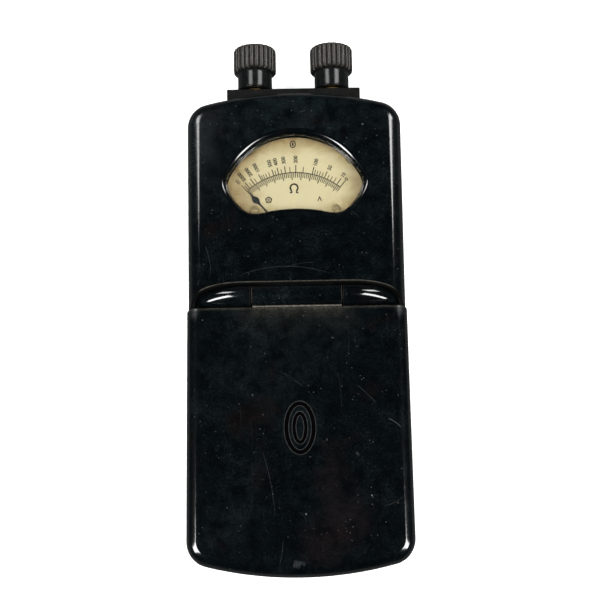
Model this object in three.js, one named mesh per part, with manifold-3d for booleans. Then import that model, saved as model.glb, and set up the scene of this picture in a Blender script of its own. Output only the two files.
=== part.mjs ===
// Pocket ohmmeter in a moulded two-part case, lying on its back.
// Millimetres, +Z out of the front face, +Y towards the terminals, +X to the right.
// Origin: centre of the bounding box in X and Y, on the plane the back rests on.
import * as THREE from 'three';
import { mergeVertices } from 'three/addons/utils/BufferGeometryUtils.js';
import Module from 'manifold-3d';

const wasm = await Module();
wasm.setup();

// ---------------------------------------------------------------- driving dimensions
const Y_SHIFT = -2.65;            // case datum (hinge side of the meter housing) to the row's origin
const FRONT_Z = 32;               // front face above the rest plane
const GAP = 0.3;                  // clearance between neighbouring pieces
const CASE_HALF_TOP = 35.2;       // half width at the terminal end
const CASE_HALF_MID = 34.8;       // half width at the hinge
const CASE_HALF_BOTTOM = 35.0;    // half width of the battery tray
const CASE_TOP_Y = 70.9;
const CASE_BOTTOM_Y = -85.65;
const END_ARC_R = 120;            // gently bowed ends
const CORNER_R = 8;
const WALL = 3;
const FRONT_WALL = 2.6;
const EDGE_R = 4.5;               // front edge rounding of the meter housing
const BACK_EDGE_R = 2;
const LID_HALF_TOP = 35.2;
const LID_HALF_BOTTOM = 35.35;
const LID_BOTTOM_Y = -86.15;
const LID_EDGE_R = 3.6;
const LID_WALL = 2.6;
const LID_TOP_EDGE_Y = -2.0;      // edge of the lid beside the hinge
const PARTING_Z = 18;             // lower edge of the lid's skirt
const FLOOR_T = 3;
const HINGE_Y = 1.95;
const HINGE_Z = 29.4;
const KNUCKLE_R = 3.6;
const KNUCKLE_SPLIT_X = 14.4;     // slit between the lid knuckle and the case knuckles
const PIN_R = 1.2;
const PIN_BORE_R = 1.45;
const MID_WALL_Y = [5.6, 9.0];
const SHELF_Z = 20.5;
const PIVOT = [0, 20.3];          // movement axis
const POINTER_REST_DEG = 42.3;    // pointer rests this far left of the dial's centre line
const POINTER_R = 26;
const GLASS_Z = [27.9, 29.1];
const DIAL_Z = [25.8, 26.6];
const POINTER_Z = [27.1, 27.4];
const MAGNET_Z = [10, 20];
const CORE_R = 5.9;
const STRIP_HALF = 22.35;
const STRIP_Z = [8, 24];
const STRIP_Y = 74.4;
const TERMINAL_X = 13.15;
const TERMINAL_Z = 16;
const STUD_R = 2.4;
const STUD_BORE_R = 2.7;
const WASHER_Y = [74.7, 76.2];
const WASHER_R = 4.3;
const KNOB_Y = [76.45, 91.45];
const KNOB_HEAD_R = 7.3;
const KNOB_COLLAR_R = 5.85;
const KNOB_FLUTES = 24;
const BATTERY = { half: 30.7, y: [-78.6, -12.0], z: [3.3, 24.9], r: 3.5 };
const BOSSES = [[-28.6, 13.2], [28.6, 13.2], [-28.6, 56], [28.6, 56]];
const BOSS_R = 3.2;

// ---------------------------------------------------------------- helpers
function solid(geometry) {
  let g = geometry.clone();
  g.deleteAttribute('normal');
  g.deleteAttribute('uv');
  g = mergeVertices(g, 1e-4);
  const p = g.attributes.position, ix = g.index.array;
  let volume = 0;                         // a profile drawn the other way round is turned outward here
  const a = new THREE.Vector3(), b = new THREE.Vector3(), c = new THREE.Vector3();
  for (let i = 0; i < ix.length; i += 3) {
    a.fromBufferAttribute(p, ix[i]);
    b.fromBufferAttribute(p, ix[i + 1]);
    c.fromBufferAttribute(p, ix[i + 2]);
    volume += a.dot(b.cross(c));
  }
  if (volume < 0) for (let i = 0; i < ix.length; i += 3) [ix[i], ix[i + 1]] = [ix[i + 1], ix[i]];
  return new wasm.Manifold(new wasm.Mesh({
    numProp: 3,
    vertProperties: new Float32Array(g.attributes.position.array),
    triVerts: new Uint32Array(g.index.array),
  }));
}
function geometryOf(manifold) {
  const m = manifold.getMesh();
  const g = new THREE.BufferGeometry();
  g.setAttribute('position', new THREE.BufferAttribute(new Float32Array(m.vertProperties), 3));
  g.setIndex(new THREE.BufferAttribute(new Uint32Array(m.triVerts), 1));
  return g;
}
const shapeOf = (points) => new THREE.Shape(points.map((p) => new THREE.Vector2(p[0], p[1])));

// Straight prism of an XY outline between two heights.
function prism(points, z0, z1) {
  const g = new THREE.ExtrudeGeometry(shapeOf(points), { depth: z1 - z0, bevelEnabled: false });
  g.translate(0, 0, z0);
  return g;
}
// Prism whose both end faces are rounded over by r; the outline is its full size.
function roundedPrism(points, z0, z1, r, segments = 3) {
  const g = new THREE.ExtrudeGeometry(shapeOf(points), {
    depth: z1 - z0 - 2 * r, bevelEnabled: true, bevelThickness: r, bevelSize: r, bevelOffset: -r, bevelSegments: segments,
  });
  g.translate(0, 0, z0 + r);
  return g;
}
function box(x0, x1, y0, y1, z0, z1) {
  const g = new THREE.BoxGeometry(x1 - x0, y1 - y0, z1 - z0);
  g.translate((x0 + x1) / 2, (y0 + y1) / 2, (z0 + z1) / 2);
  return g;
}
function rodZ(x, y, z0, z1, r, n = 20) {
  const g = new THREE.CylinderGeometry(r, r, z1 - z0, n);
  g.rotateX(Math.PI / 2);
  g.translate(x, y, (z0 + z1) / 2);
  return g;
}
function rodY(x, z, y0, y1, r, n = 24) {
  const g = new THREE.CylinderGeometry(r, r, y1 - y0, n);
  g.translate(x, (y0 + y1) / 2, z);
  return g;
}
function rodX(y, z, x0, x1, r, n = 32) {
  const g = new THREE.CylinderGeometry(r, r, x1 - x0, n);
  g.rotateZ(Math.PI / 2);
  g.translate((x0 + x1) / 2, y, z);
  return g;
}
// Solid of revolution about an axis along Y at (x, z); profile is [radius, y] from axis to axis.
function turnedY(x, z, profile, n = 28) {
  const g = new THREE.LatheGeometry(profile.map((p) => new THREE.Vector2(p[0], p[1])), n);
  g.translate(x, 0, z);
  return g;
}
function turnedZ(x, y, profile, n = 20) {
  const g = new THREE.LatheGeometry(profile.map((p) => new THREE.Vector2(p[0], p[1])), n);
  g.rotateX(Math.PI / 2);
  g.translate(x, y, 0);
  return g;
}
function tube(points, r, steps, sides = 6) {
  const path = new THREE.CatmullRomCurve3(points.map((p) => new THREE.Vector3(p[0], p[1], p[2])));
  const section = [];
  for (let i = 0; i < sides; i++) {
    const a = (i / sides) * 2 * Math.PI;
    section.push([r * Math.cos(a), r * Math.sin(a)]);
  }
  return new THREE.ExtrudeGeometry(shapeOf(section), { steps, extrudePath: path, bevelEnabled: false });
}
const cut = (a, ...others) => others.reduce((m, o) => m.subtract(solid(o)), a.getMesh ? a : solid(a));
const join = (a, ...others) => others.reduce((m, o) => m.add(solid(o)), a.getMesh ? a : solid(a));

// Half of a bowed end with its rounded corner, from the side to the centre line and back.
function bowedEnd(half, tipY, sign, inset, nCorner = 7, nBow = 6) {
  const R = END_ARC_R - inset, rc = CORNER_R - inset;
  const cyArc = tipY - sign * END_ARC_R;
  const cx = half - CORNER_R;
  const cy = cyArc + sign * Math.sqrt((END_ARC_R - CORNER_R) ** 2 - cx ** 2);
  const tangent = Math.atan2(Math.abs(cy - cyArc), cx);       // from +X axis
  const right = [];
  for (let i = 0; i <= nCorner; i++) {
    const a = (i / nCorner) * tangent;
    right.push([cx + rc * Math.cos(a), cy + sign * rc * Math.sin(a)]);
  }
  for (let i = 1; i <= nBow; i++) {
    const a = tangent + (i / nBow) * (Math.PI / 2 - tangent);
    right.push([R * Math.cos(a), cyArc + sign * R * Math.sin(a)]);
  }
  right[right.length - 1][0] = 0;
  const left = right.slice(0, -1).reverse().map((p) => [-p[0], p[1]]);
  return right.concat(left);          // from right side, over the tip, to left side
}
function caseOutline(inset) {
  const top = bowedEnd(CASE_HALF_TOP, CASE_TOP_Y, 1, inset);
  const bottom = bowedEnd(CASE_HALF_BOTTOM, CASE_BOTTOM_Y, -1, inset).reverse();
  return [...top, [-(CASE_HALF_MID - inset), 2], ...bottom, [CASE_HALF_MID - inset, 2]];
}
function lidOutline(inset, topY) {
  const bottom = bowedEnd(LID_HALF_BOTTOM, LID_BOTTOM_Y, -1, inset).reverse();
  return [[LID_HALF_TOP - inset, topY], [-(LID_HALF_TOP - inset), topY], ...bottom];
}
// Smooth closed outline through points given for the right half, mirrored to the left.
function mirroredLoop(rightPoints, n) {
  const left = rightPoints.slice(1, -1).reverse().map((p) => [-p[0], p[1]]);
  const all = rightPoints.concat(left).map((p) => new THREE.Vector3(p[0], p[1], 0));
  const curve = new THREE.CatmullRomCurve3(all, true, 'centripetal');
  return curve.getSpacedPoints(n).slice(0, n).map((p) => [p.x, p.y]);
}
const WINDOW_INNER = [[0, 55.0], [6.7, 54.0], [12.4, 51.4], [16.9, 47.7], [19.9, 43.9], [21.6, 40.6], [21.8, 38.6], [20.9, 36.0], [18.8, 32.9],
  [16.6, 30.7], [14.6, 29.6], [12.0, 29.5], [8.0, 30.3], [4.0, 30.8], [0, 30.95]];
function grow(points, d) {               // outline moved outward by d along its normals
  const n = points.length;
  let area = 0;
  for (let i = 0; i < n; i++) {
    const a = points[i], b = points[(i + 1) % n];
    area += a[0] * b[1] - b[0] * a[1];
  }
  const s = area > 0 ? 1 : -1;
  return points.map((p, i) => {
    const a = points[(i + n - 1) % n], b = points[(i + 1) % n];
    const tx = b[0] - a[0], ty = b[1] - a[1], l = Math.hypot(tx, ty);
    return [p[0] + (s * ty / l) * d, p[1] - (s * tx / l) * d];
  });
}
// Plan of a case knuckle's field: straight beside the lid, swept down to the case side.
function knucklePlan(offset, inner) {
  const pts = [];
  const rx = 17.4 + offset, ry = 7.2 + offset, e = 2.4, x0 = 16, y0 = -1.65;
  for (let i = 0; i <= 12; i++) {
    const t = (i / 12) * (Math.PI / 2);
    const c = Math.cos(t) ** (2 / e), s = Math.sin(t) ** (2 / e);
    pts.push([x0 + rx * c, y0 + ry * s]);
  }
  pts.push([inner, y0 + ry]);
  pts.push([inner, y0 - 3]);
  pts.push([x0 + rx, y0 - 3]);
  return pts;
}
const mirrorX = (pts) => pts.map((p) => [-p[0], p[1]]).reverse();

const model = new THREE.Group();
const bench = new THREE.Group();
bench.position.set(0, Y_SHIFT, 0);
model.add(bench);
const moving = new THREE.Group();          // movement, drawn with its pointer straight up the dial
moving.position.set(PIVOT[0], PIVOT[1], 0);
moving.rotation.z = (POINTER_REST_DEG * Math.PI) / 180;
bench.add(moving);

function add(name, part, look, parent = bench) {
  const g = part.getMesh ? geometryOf(part) : geometryOf(solid(part));
  const mesh = new THREE.Mesh(g, new THREE.MeshStandardMaterial(look));
  mesh.name = name;
  parent.add(mesh);
  return mesh;
}
const BAKELITE = { color: 0x0e1215, roughness: 0.35, metalness: 0 };
const BRASS = { color: 0xa98748, roughness: 0.4, metalness: 1 };
const STEEL = { color: 0x8c8f92, roughness: 0.4, metalness: 1 };
const DARK_STEEL = { color: 0x33363a, roughness: 0.5, metalness: 1 };
const ALU = { color: 0xb9bcc0, roughness: 0.45, metalness: 1 };
const GLASS = { color: 0xe8f0ee, roughness: 0.05, metalness: 0, transparent: true, opacity: 0.3 };
const CREAM = { color: 0xd9cfae, roughness: 0.7, metalness: 0 };
const EBONITE = { color: 0x2c2f31, roughness: 0.6, metalness: 0 };
const PERTINAX = { color: 0x6d4220, roughness: 0.6, metalness: 0 };
const COPPER = { color: 0x8a3f22, roughness: 0.5, metalness: 1 };
const PAPER = { color: 0x8d6b3d, roughness: 0.8, metalness: 0 };
const BLACK = { color: 0x111111, roughness: 0.6, metalness: 0 };
const LEAD_RED = { color: 0x7a2620, roughness: 0.8, metalness: 0 };
const LEAD_BLACK = { color: 0x1a1a1a, roughness: 0.8, metalness: 0 };

// ---------------------------------------------------------------- case moulding
{
  const whole = caseOutline(0);
  let body = solid(roundedPrism(whole, -20, FRONT_Z, EDGE_R, 4)).intersect(solid(roundedPrism(whole, 0, 60, BACK_EDGE_R, 2)));
  // room for the lid
  body = cut(body, box(-50, 50, -100, -1.65, PARTING_Z - GAP, 60));
  // swept groove round the two case knuckles, then the knuckles themselves
  const split = KNUCKLE_SPLIT_X + 0.35;
  for (const side of [1, -1]) {
    const field = knucklePlan(0.45, split - 2), plan = knucklePlan(0, split);
    body = cut(body, prism(side > 0 ? field : mirrorX(field), 26.6, 60));
    const barrel = solid(rodX(HINGE_Y, HINGE_Z, side > 0 ? 0 : -36, side > 0 ? 36 : 0, KNUCKLE_R, 28))
      .add(solid(box(side > 0 ? 0 : -36, side > 0 ? 36 : 0, HINGE_Y - KNUCKLE_R, HINGE_Y + KNUCKLE_R, 24, 27.2)));
    const trimmed = barrel.intersect(solid(prism(side > 0 ? plan : mirrorX(plan), 20, 60)))
      .intersect(solid(roundedPrism(whole, -20, 40, EDGE_R, 4)));
    body = body.add(trimmed);
  }
  // room for the lid's knuckle
  body = cut(body, rodX(HINGE_Y, HINGE_Z, -split, split, KNUCKLE_R + 0.35, 28),
    box(-split, split, -10, HINGE_Y, HINGE_Z - KNUCKLE_R - 0.35, 60),
    box(-split, split, HINGE_Y - 1, HINGE_Y + KNUCKLE_R + 0.45, HINGE_Z - 0.6, 60));
  // hinge pin bore, blind at both ends so nothing shows on the swept knuckles
  body = cut(body, rodX(HINGE_Y, HINGE_Z, -27.6, 27.6, PIN_BORE_R, 20));
  // meter housing, open at the back
  const inner = caseOutline(WALL);
  const housing = solid(prism(inner, -5, FRONT_Z - FRONT_WALL)).intersect(solid(box(-60, 60, MID_WALL_Y[1], 100, -6, 60)));
  body = body.subtract(housing);
  // battery tray
  const tray = solid(prism(inner, FLOOR_T, SHELF_Z)).intersect(solid(box(-60, 60, -100, MID_WALL_Y[0], 0, 60)));
  body = body.subtract(tray);
  // screw bosses for the back cover
  for (const b of BOSSES) body = join(body, rodZ(b[0], b[1], 2.7, FRONT_Z - FRONT_WALL + 0.5, BOSS_R, 20));
  for (const b of BOSSES) body = cut(body, rodZ(b[0], b[1], 0, 14.5, 1.6, 14));
  // bevelled window
  const win = mirroredLoop(WINDOW_INNER, 48);
  const lip = new THREE.ExtrudeGeometry(shapeOf(win), { depth: 6, bevelEnabled: true, bevelThickness: FRONT_WALL, bevelSize: 1.85, bevelOffset: 0, bevelSegments: 2 });
  lip.translate(0, 0, FRONT_Z);
  body = cut(body, lip, prism(win, FRONT_Z - FRONT_WALL - 2, FRONT_Z + 1));
  // slot for the terminal strip and its two screw holes
  body = cut(body, box(-STRIP_HALF - GAP, STRIP_HALF + GAP, 60, 80, STRIP_Z[0] - GAP, STRIP_Z[1] + GAP));
  for (const x of [-24.6, 24.6]) body = cut(body, rodY(x, TERMINAL_Z, 62, 67.2, 0.95, 12));
  // wire passages through the middle wall
  for (const x of [-23.5, 23.5]) body = cut(body, rodY(x, 8, 4, 10, 1.6, 12));
  add('case_body', body, BAKELITE);
}

// ---------------------------------------------------------------- lid over the battery tray
{
  const outer = lidOutline(0, 20);
  let lid = solid(roundedPrism(outer, -20, FRONT_Z, LID_EDGE_R, 4)).intersect(solid(box(-60, 60, -100, LID_TOP_EDGE_Y, PARTING_Z, 60)));
  const hollow = solid(prism(lidOutline(LID_WALL, 20), 0, FRONT_Z - LID_WALL));
  lid = lid.subtract(hollow);
  const w = KNUCKLE_SPLIT_X - 0.3;
  lid = join(lid, rodX(HINGE_Y, HINGE_Z, -w, w, KNUCKLE_R, 28));
  lid = join(lid, box(-w, w, LID_TOP_EDGE_Y - 2.5, HINGE_Y - 1.5, HINGE_Z - 3.2, FRONT_Z));
  lid = cut(lid, rodX(HINGE_Y, HINGE_Z, -w - 1, w + 1, PIN_BORE_R, 20));
  // ledge that the catch spring holds
  lid = join(lid, box(-4, 4, -83.6, -82.5, 20.6, 21.8));
  add('battery_lid', lid, BAKELITE);
}
add('hinge_pin', rodX(HINGE_Y, HINGE_Z, -27.3, 27.3, PIN_R, 20), STEEL);

// ---------------------------------------------------------------- back cover and its screws
{
  let cover = solid(prism(caseOutline(WALL + GAP), 0, 2.4)).intersect(solid(box(-60, 60, MID_WALL_Y[1] + GAP, 100, -1, 5)));
  for (const b of BOSSES) cover = cut(cover, rodZ(b[0], b[1], -1, 4, 1.7, 14), rodZ(b[0], b[1], -1, 1.55, 2.9, 20));
  add('back_cover', cover, BAKELITE);
  const names = ['lower_left', 'lower_right', 'upper_left', 'upper_right'];
  BOSSES.forEach((b, i) => {
    let s = solid(turnedZ(b[0], b[1], [[0, 0.35], [2.6, 0.35], [2.6, 1.25], [1.3, 1.25], [1.3, 13.5], [0, 13.5]], 20));
    s = cut(s, box(b[0] - 3, b[0] + 3, b[1] - 0.35, b[1] + 0.35, -1, 0.85));
    add('cover_screw_' + names[i], s, STEEL);
  });
}

// ---------------------------------------------------------------- window glass and dial
{
  const opening = mirroredLoop(WINDOW_INNER, 48);
  const rim = grow(opening, 2.9);
  add('window_glass', prism(rim, GLASS_Z[0], GLASS_Z[1]), GLASS);
  let ring = solid(prism(rim, 26.9, 27.6)).subtract(solid(prism(grow(opening, 0.8), 26, 28)));
  ring = cut(ring, box(-16.5, 16.5, 20, 35.5, 26, 28.5));
  add('glass_retainer', ring, BRASS);

  let dial = solid(prism(grow(opening, 2.4), DIAL_Z[0], DIAL_Z[1]));
  for (const x of [-13.4, 13.4]) dial = cut(dial, rodZ(x, 31.2, 24, 28, 1.1, 14));
  add('dial_plate', dial, CREAM);
  for (const [name, x] of [['left', -13.4], ['right', 13.4]]) {
    let post = solid(rodZ(x, 31.2, MAGNET_Z[1] + GAP, DIAL_Z[0] - GAP, 2, 16));
    post = cut(post, rodZ(x, 31.2, 21.5, 27, 1.1, 14));
    add('dial_post_' + name, post, BRASS);
    let s = solid(turnedZ(x, 31.2, [[0, 22.2], [0.8, 22.2], [0.8, 26.9], [1.45, 26.9], [1.45, 27.45], [1.0, 27.6], [0, 27.6]], 16));
    s = cut(s, box(x - 2, x + 2, 31.2 - 0.22, 31.2 + 0.22, 27.25, 28));
    add('dial_screw_' + name, s, BRASS);
  }
}

// ---------------------------------------------------------------- moving-coil movement
{
  // pointer with its hub, lozenge and tail
  const blade = [[-0.35, -7.8], [0.35, -7.8], [0.35, -1.2], [0.45, 1.2], [0.3, 16.9], [1.25, 19.3], [0.28, 21.2], [0.14, POINTER_R], [-0.14, POINTER_R],
    [-0.28, 21.2], [-1.25, 19.3], [-0.3, 16.9], [-0.45, 1.2], [-0.35, -1.2]];
  let pointer = solid(prism(blade, POINTER_Z[0], POINTER_Z[1]));
  pointer = join(pointer, rodZ(0, 0, POINTER_Z[0], POINTER_Z[1], 1.8, 18));
  pointer = cut(pointer, rodZ(0, 0, 26, 28, 0.9, 12));
  add('pointer', pointer, BLACK, moving);
  add('counterweight', box(-1.1, 1.1, -7.6, -5.2, 25.9, 26.8), BRASS, moving);
  add('staff_upper', turnedZ(0, 0, [[0, 22.3], [1.2, 22.3], [1.2, 22.9], [0.55, 23.0], [0.55, 27.3], [0, 27.65]], 12), STEEL, moving);
  add('staff_lower', turnedZ(0, 0, [[0, 5.9], [0.55, 6.2], [0.55, 7.2], [1.2, 7.3], [1.2, 7.7], [0, 7.7]], 12), STEEL, moving);
  let coil = solid(box(-7.6, 7.6, -1.5, 1.5, 8, 22));
  coil = cut(coil, box(-6.5, 6.5, -2, 2, 9.3, 20.7));
  add('moving_coil', coil, COPPER, moving);

  const [px, py] = PIVOT;
  add('soft_iron_core', rodZ(px, py, MAGNET_Z[0], MAGNET_Z[1], CORE_R, 32), DARK_STEEL);
  add('core_bracket', prism([[-2.3, py + 6.2], [2.3, py + 6.2], [2.3, py + 10.6], [10.8, py + 10.6], [10.8, py + 13.2], [-10.8, py + 13.2],
    [-10.8, py + 10.6], [-2.3, py + 10.6]], 12, 18), BRASS);
  // horseshoe magnet, its arms either side of the coil
  const outer = [[20, 11.5], [20, 37]], innerArc = [];
  for (let i = 1; i < 16; i++) outer.push([20 * Math.cos((i / 16) * Math.PI), 37 + 20 * Math.sin((i / 16) * Math.PI)]);
  outer.push([-20, 37], [-20, 11.5], [-11.2, 11.5], [-11.2, 37]);
  for (let i = 15; i > 0; i--) innerArc.push([11.2 * Math.cos((i / 16) * Math.PI), 37 + 11.2 * Math.sin((i / 16) * Math.PI)]);
  const horseshoe = [...outer, ...innerArc, [11.2, 37], [11.2, 11.5]];
  add('magnet', prism(horseshoe, MAGNET_Z[0], MAGNET_Z[1]), DARK_STEEL);
  for (const [name, s] of [['left', -1], ['right', 1]]) {
    let shoe = solid(box(Math.min(s * 4, s * 10.9), Math.max(s * 4, s * 10.9), py - 8, py + 8, MAGNET_Z[0], MAGNET_Z[1]));
    shoe = cut(shoe, rodZ(px, py, 5, 25, 8.3, 40));
    shoe = cut(shoe, box(-5.2, 5.2, py - 9, py + 9, 5, 25));
    add('pole_shoe_' + name, shoe, DARK_STEEL);
    add('upper_bridge_post_' + name, rodZ(s * 13, py, MAGNET_Z[1] + GAP, 27.6, 1.6, 14), BRASS);
    add('lower_bridge_post_' + name, rodZ(s * 13, py, 5.9, MAGNET_Z[0] - GAP, 1.6, 14), BRASS);
  }
  const bar = (z0, z1) => cut(prism([[-15.2, py - 2.2], [-4, py - 2.6], [4, py - 2.6], [15.2, py - 2.2], [15.2, py + 2.2], [4, py + 2.6], [-4, py + 2.6], [-15.2, py + 2.2]], z0, z1),
    rodZ(px, py, z0 - 1, z1 + 1, 1.7, 16));
  add('upper_bridge', bar(27.9, 28.9), BRASS);
  add('lower_bridge', bar(4.4, 5.6), BRASS);
  let jewelUp = solid(rodZ(px, py, 27.95, 29.1, 1.4, 16));
  jewelUp = cut(jewelUp, box(-2, 2, py - 0.2, py + 0.2, 28.8, 30));
  add('jewel_screw_upper', jewelUp, BRASS);
  let jewelLow = solid(rodZ(px, py, 3.3, 5.6, 1.4, 16));
  jewelLow = cut(jewelLow, box(-2, 2, py - 0.2, py + 0.2, 2, 3.7));
  add('jewel_screw_lower', jewelLow, BRASS);
  // flat spiral springs that carry the coil current and return the pointer
  for (const [name, z, dir] of [['upper', 24.4, 1], ['lower', 6.75, -1]]) {
    const pts = [];
    const turns = 2.5, n = 26;
    for (let i = 0; i <= n; i++) {
      const a = dir * (i / n) * turns * 2 * Math.PI, r = 1.6 + 3.2 * (i / n);
      pts.push(new THREE.Vector3(px + r * Math.cos(a), py + r * Math.sin(a), z));
    }
    const path = new THREE.CatmullRomCurve3(pts);
    const spiral = new THREE.ExtrudeGeometry(shapeOf([[-0.15, -0.15], [0.15, -0.15], [0.15, 0.15], [-0.15, 0.15]]), { steps: 40, extrudePath: path, bevelEnabled: false });
    add('hairspring_' + name, spiral, BRASS);
  }
}

// ---------------------------------------------------------------- terminals
{
  let strip = solid(box(-STRIP_HALF, STRIP_HALF, 63.2, STRIP_Y, STRIP_Z[0], STRIP_Z[1]));
  strip = join(strip, box(-25.8, 25.8, 61.2, 63.3, 6, 26));
  for (const x of [-TERMINAL_X, TERMINAL_X]) strip = cut(strip, rodY(x, TERMINAL_Z, 60, 80, STUD_BORE_R, 24));
  for (const x of [-24.6, 24.6]) strip = cut(strip, rodY(x, TERMINAL_Z, 60, 64, 1.1, 12));
  add('terminal_strip', strip, EBONITE);
  for (const [name, s] of [['left', -1], ['right', 1]]) {
    let screw = solid(turnedY(s * 24.6, TERMINAL_Z, [[0, 59.6], [1.5, 59.6], [1.5, 60.9], [0.65, 60.9], [0.65, 66.4], [0, 66.4]], 14));
    screw = cut(screw, box(s * 24.6 - 2, s * 24.6 + 2, 59, 60.0, TERMINAL_Z - 0.2, TERMINAL_Z + 0.2));
    add('strip_screw_' + name, screw, STEEL);
    add('terminal_stud_' + name, turnedY(s * TERMINAL_X, TERMINAL_Z, [[0, 56.4], [STUD_R, 56.4], [STUD_R, 85.6], [1.8, 86.2], [0, 86.2]], 24), BRASS);
    let nut = solid(rodY(s * TERMINAL_X, TERMINAL_Z, 57.2, 60.9, 4.6, 6));
    nut = cut(nut, rodY(s * TERMINAL_X, TERMINAL_Z, 56, 62, STUD_BORE_R, 24));
    add('terminal_nut_' + name, nut, BRASS);
    let washer = solid(turnedY(s * TERMINAL_X, TERMINAL_Z, [[0, WASHER_Y[0]], [WASHER_R, WASHER_Y[0]], [WASHER_R, 75.9], [WASHER_R - 0.3, WASHER_Y[1]], [0, WASHER_Y[1]]], 28));
    washer = cut(washer, rodY(s * TERMINAL_X, TERMINAL_Z, 73, 78, STUD_BORE_R, 24));
    add('clamp_washer_' + name, washer, BRASS);
    // knob: smooth collar, cone, fluted head
    const n = KNOB_FLUTES * 2, star = [];
    for (let i = 0; i < n; i++) {
      const r = i % 2 ? KNOB_HEAD_R - 0.55 : KNOB_HEAD_R, a = (i / n) * 2 * Math.PI;
      star.push([r * Math.cos(a), r * Math.sin(a)]);
    }
    const head = roundedPrism(star, 0, KNOB_Y[1] - 82.9, 0.5, 1);
    head.rotateX(-Math.PI / 2);
    head.translate(s * TERMINAL_X, 82.9, TERMINAL_Z);
    let knob = solid(turnedY(s * TERMINAL_X, TERMINAL_Z, [[0, KNOB_Y[0]], [5.5, KNOB_Y[0]], [KNOB_COLLAR_R, 76.9], [KNOB_COLLAR_R, 82.2], [6.7, 83.1], [6.7, 84.3], [0, 84.3]], 30));
    knob = join(knob, head);
    knob = cut(knob, rodY(s * TERMINAL_X, TERMINAL_Z, 76, 88.6, STUD_BORE_R, 24));
    add('terminal_knob_' + name, knob, BAKELITE);
  }
}

// ---------------------------------------------------------------- battery compartment
{
  const { half, y, z, r } = BATTERY;
  const shape = [];
  for (const [cx, cy, a0] of [[half - r, y[1] - r, 0], [-half + r, y[1] - r, 90], [-half + r, y[0] + r, 180], [half - r, y[0] + r, 270]]) {
    for (let i = 0; i <= 4; i++) {
      const a = ((a0 + (i / 4) * 90) * Math.PI) / 180;
      shape.push([cx + r * Math.cos(a), cy + r * Math.sin(a)]);
    }
  }
  add('battery', roundedPrism(shape, z[0], z[1], 0.8, 1), PAPER);
  // the battery's own brass tongues and the springs they press on
  for (const [name, s] of [['left', -1], ['right', 1]]) {
    const x = s * 14;
    add('battery_tongue_' + name, (() => {
      const side = [[-11.7, 17.6], [-11.7, 17.2], [-6.2, 17.2], [-4.9, 16.4], [-4.9, 9.5], [-4.5, 9.5], [-4.5, 16.8], [-6.0, 17.6]];
      const g = prism(side, x - 3, x + 3);               // drawn in (y, z), swept along x
      g.applyMatrix4(new THREE.Matrix4().set(0, 0, 1, 0, 1, 0, 0, 0, 0, 1, 0, 0, 0, 0, 0, 1));
      return g;
    })(), BRASS);
    add('contact_spring_' + name, (() => {
      const side = [[0.7, 5.0], [0.7, 9.0], [0.3, 9.0], [-0.6, 12.0], [-3.6, 14.2], [-4.0, 14.0], [-4.0, 13.6], [-1.0, 11.6], [-0.1, 9.0], [-0.1, 5.0]];
      const g = prism(side, x - 3.5, x + 3.5);
      g.applyMatrix4(new THREE.Matrix4().set(0, 0, 1, 0, 1, 0, 0, 0, 0, 1, 0, 0, 0, 0, 0, 1));
      return g;
    })(), BRASS);
  }
  add('contact_block', box(-21, 21, 1.0, 5.3, 3.3, 17), PERTINAX);
  // catch spring that the lid's ledge snaps under
  const catchSide = [[-81.85, 5], [-81.85, 18.4], [-82.2, 19.8], [-81.7, 20.6], [-81.0, 22.6], [-80.5, 22.4], [-81.2, 20.4], [-81.5, 19.6], [-81.35, 18.4], [-81.35, 5]];
  const catchGeo = prism(catchSide, -5, 5);
  catchGeo.applyMatrix4(new THREE.Matrix4().set(0, 0, 1, 0, 1, 0, 0, 0, 0, 1, 0, 0, 0, 0, 0, 1));
  add('lid_catch_spring', catchGeo, STEEL);
}

// ---------------------------------------------------------------- resistor bobbins and leads
for (const [name, x] of [['series', -25.5], ['shunt', 25.5]]) {
  add(name + '_resistor', turnedY(x, 12, [[0, 20], [4.2, 20], [4.2, 21.2], [3.4, 21.2], [3.4, 34.8], [4.2, 34.8], [4.2, 36], [0, 36]], 20), PERTINAX);
}
add('lead_battery_left', tube([[-18.2, -1.6, 6.2], [-22.6, -1.2, 7.2], [-23.5, 3, 8], [-23.5, 7.3, 8], [-23.5, 12, 7.6], [-24.6, 17, 9.5], [-25.3, 19.4, 11.4]], 0.6, 16), LEAD_BLACK);
add('lead_battery_right', tube([[18.2, -1.6, 6.2], [22.6, -1.2, 7.2], [23.5, 3, 8], [23.5, 7.3, 8], [21.5, 12.5, 6.6], [18.5, 16.5, 5.2], [15.9, 19.5, 5.0]], 0.6, 16), LEAD_RED);
add('lead_terminal_left', tube([[-18.9, 59.6, 14.5], [-21.6, 57.0, 12.5], [-23.2, 52, 12], [-25.2, 44, 12], [-25.5, 36.5, 12]], 0.6, 12), LEAD_BLACK);
add('lead_terminal_right', tube([[18.9, 59.6, 14.5], [21.6, 57.0, 12.5], [23.2, 52, 12], [25.2, 44, 12], [25.5, 36.5, 12]], 0.6, 12), LEAD_RED);

export default model;
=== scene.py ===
# Looks of the pocket ohmmeter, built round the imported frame. Lengths below are millimetres in the
# case's own datum (y = 0 on the hinge side of the meter housing) and become metres in the row's frame.
import bpy, bmesh, math, random
from mathutils import Vector, Matrix


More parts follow.
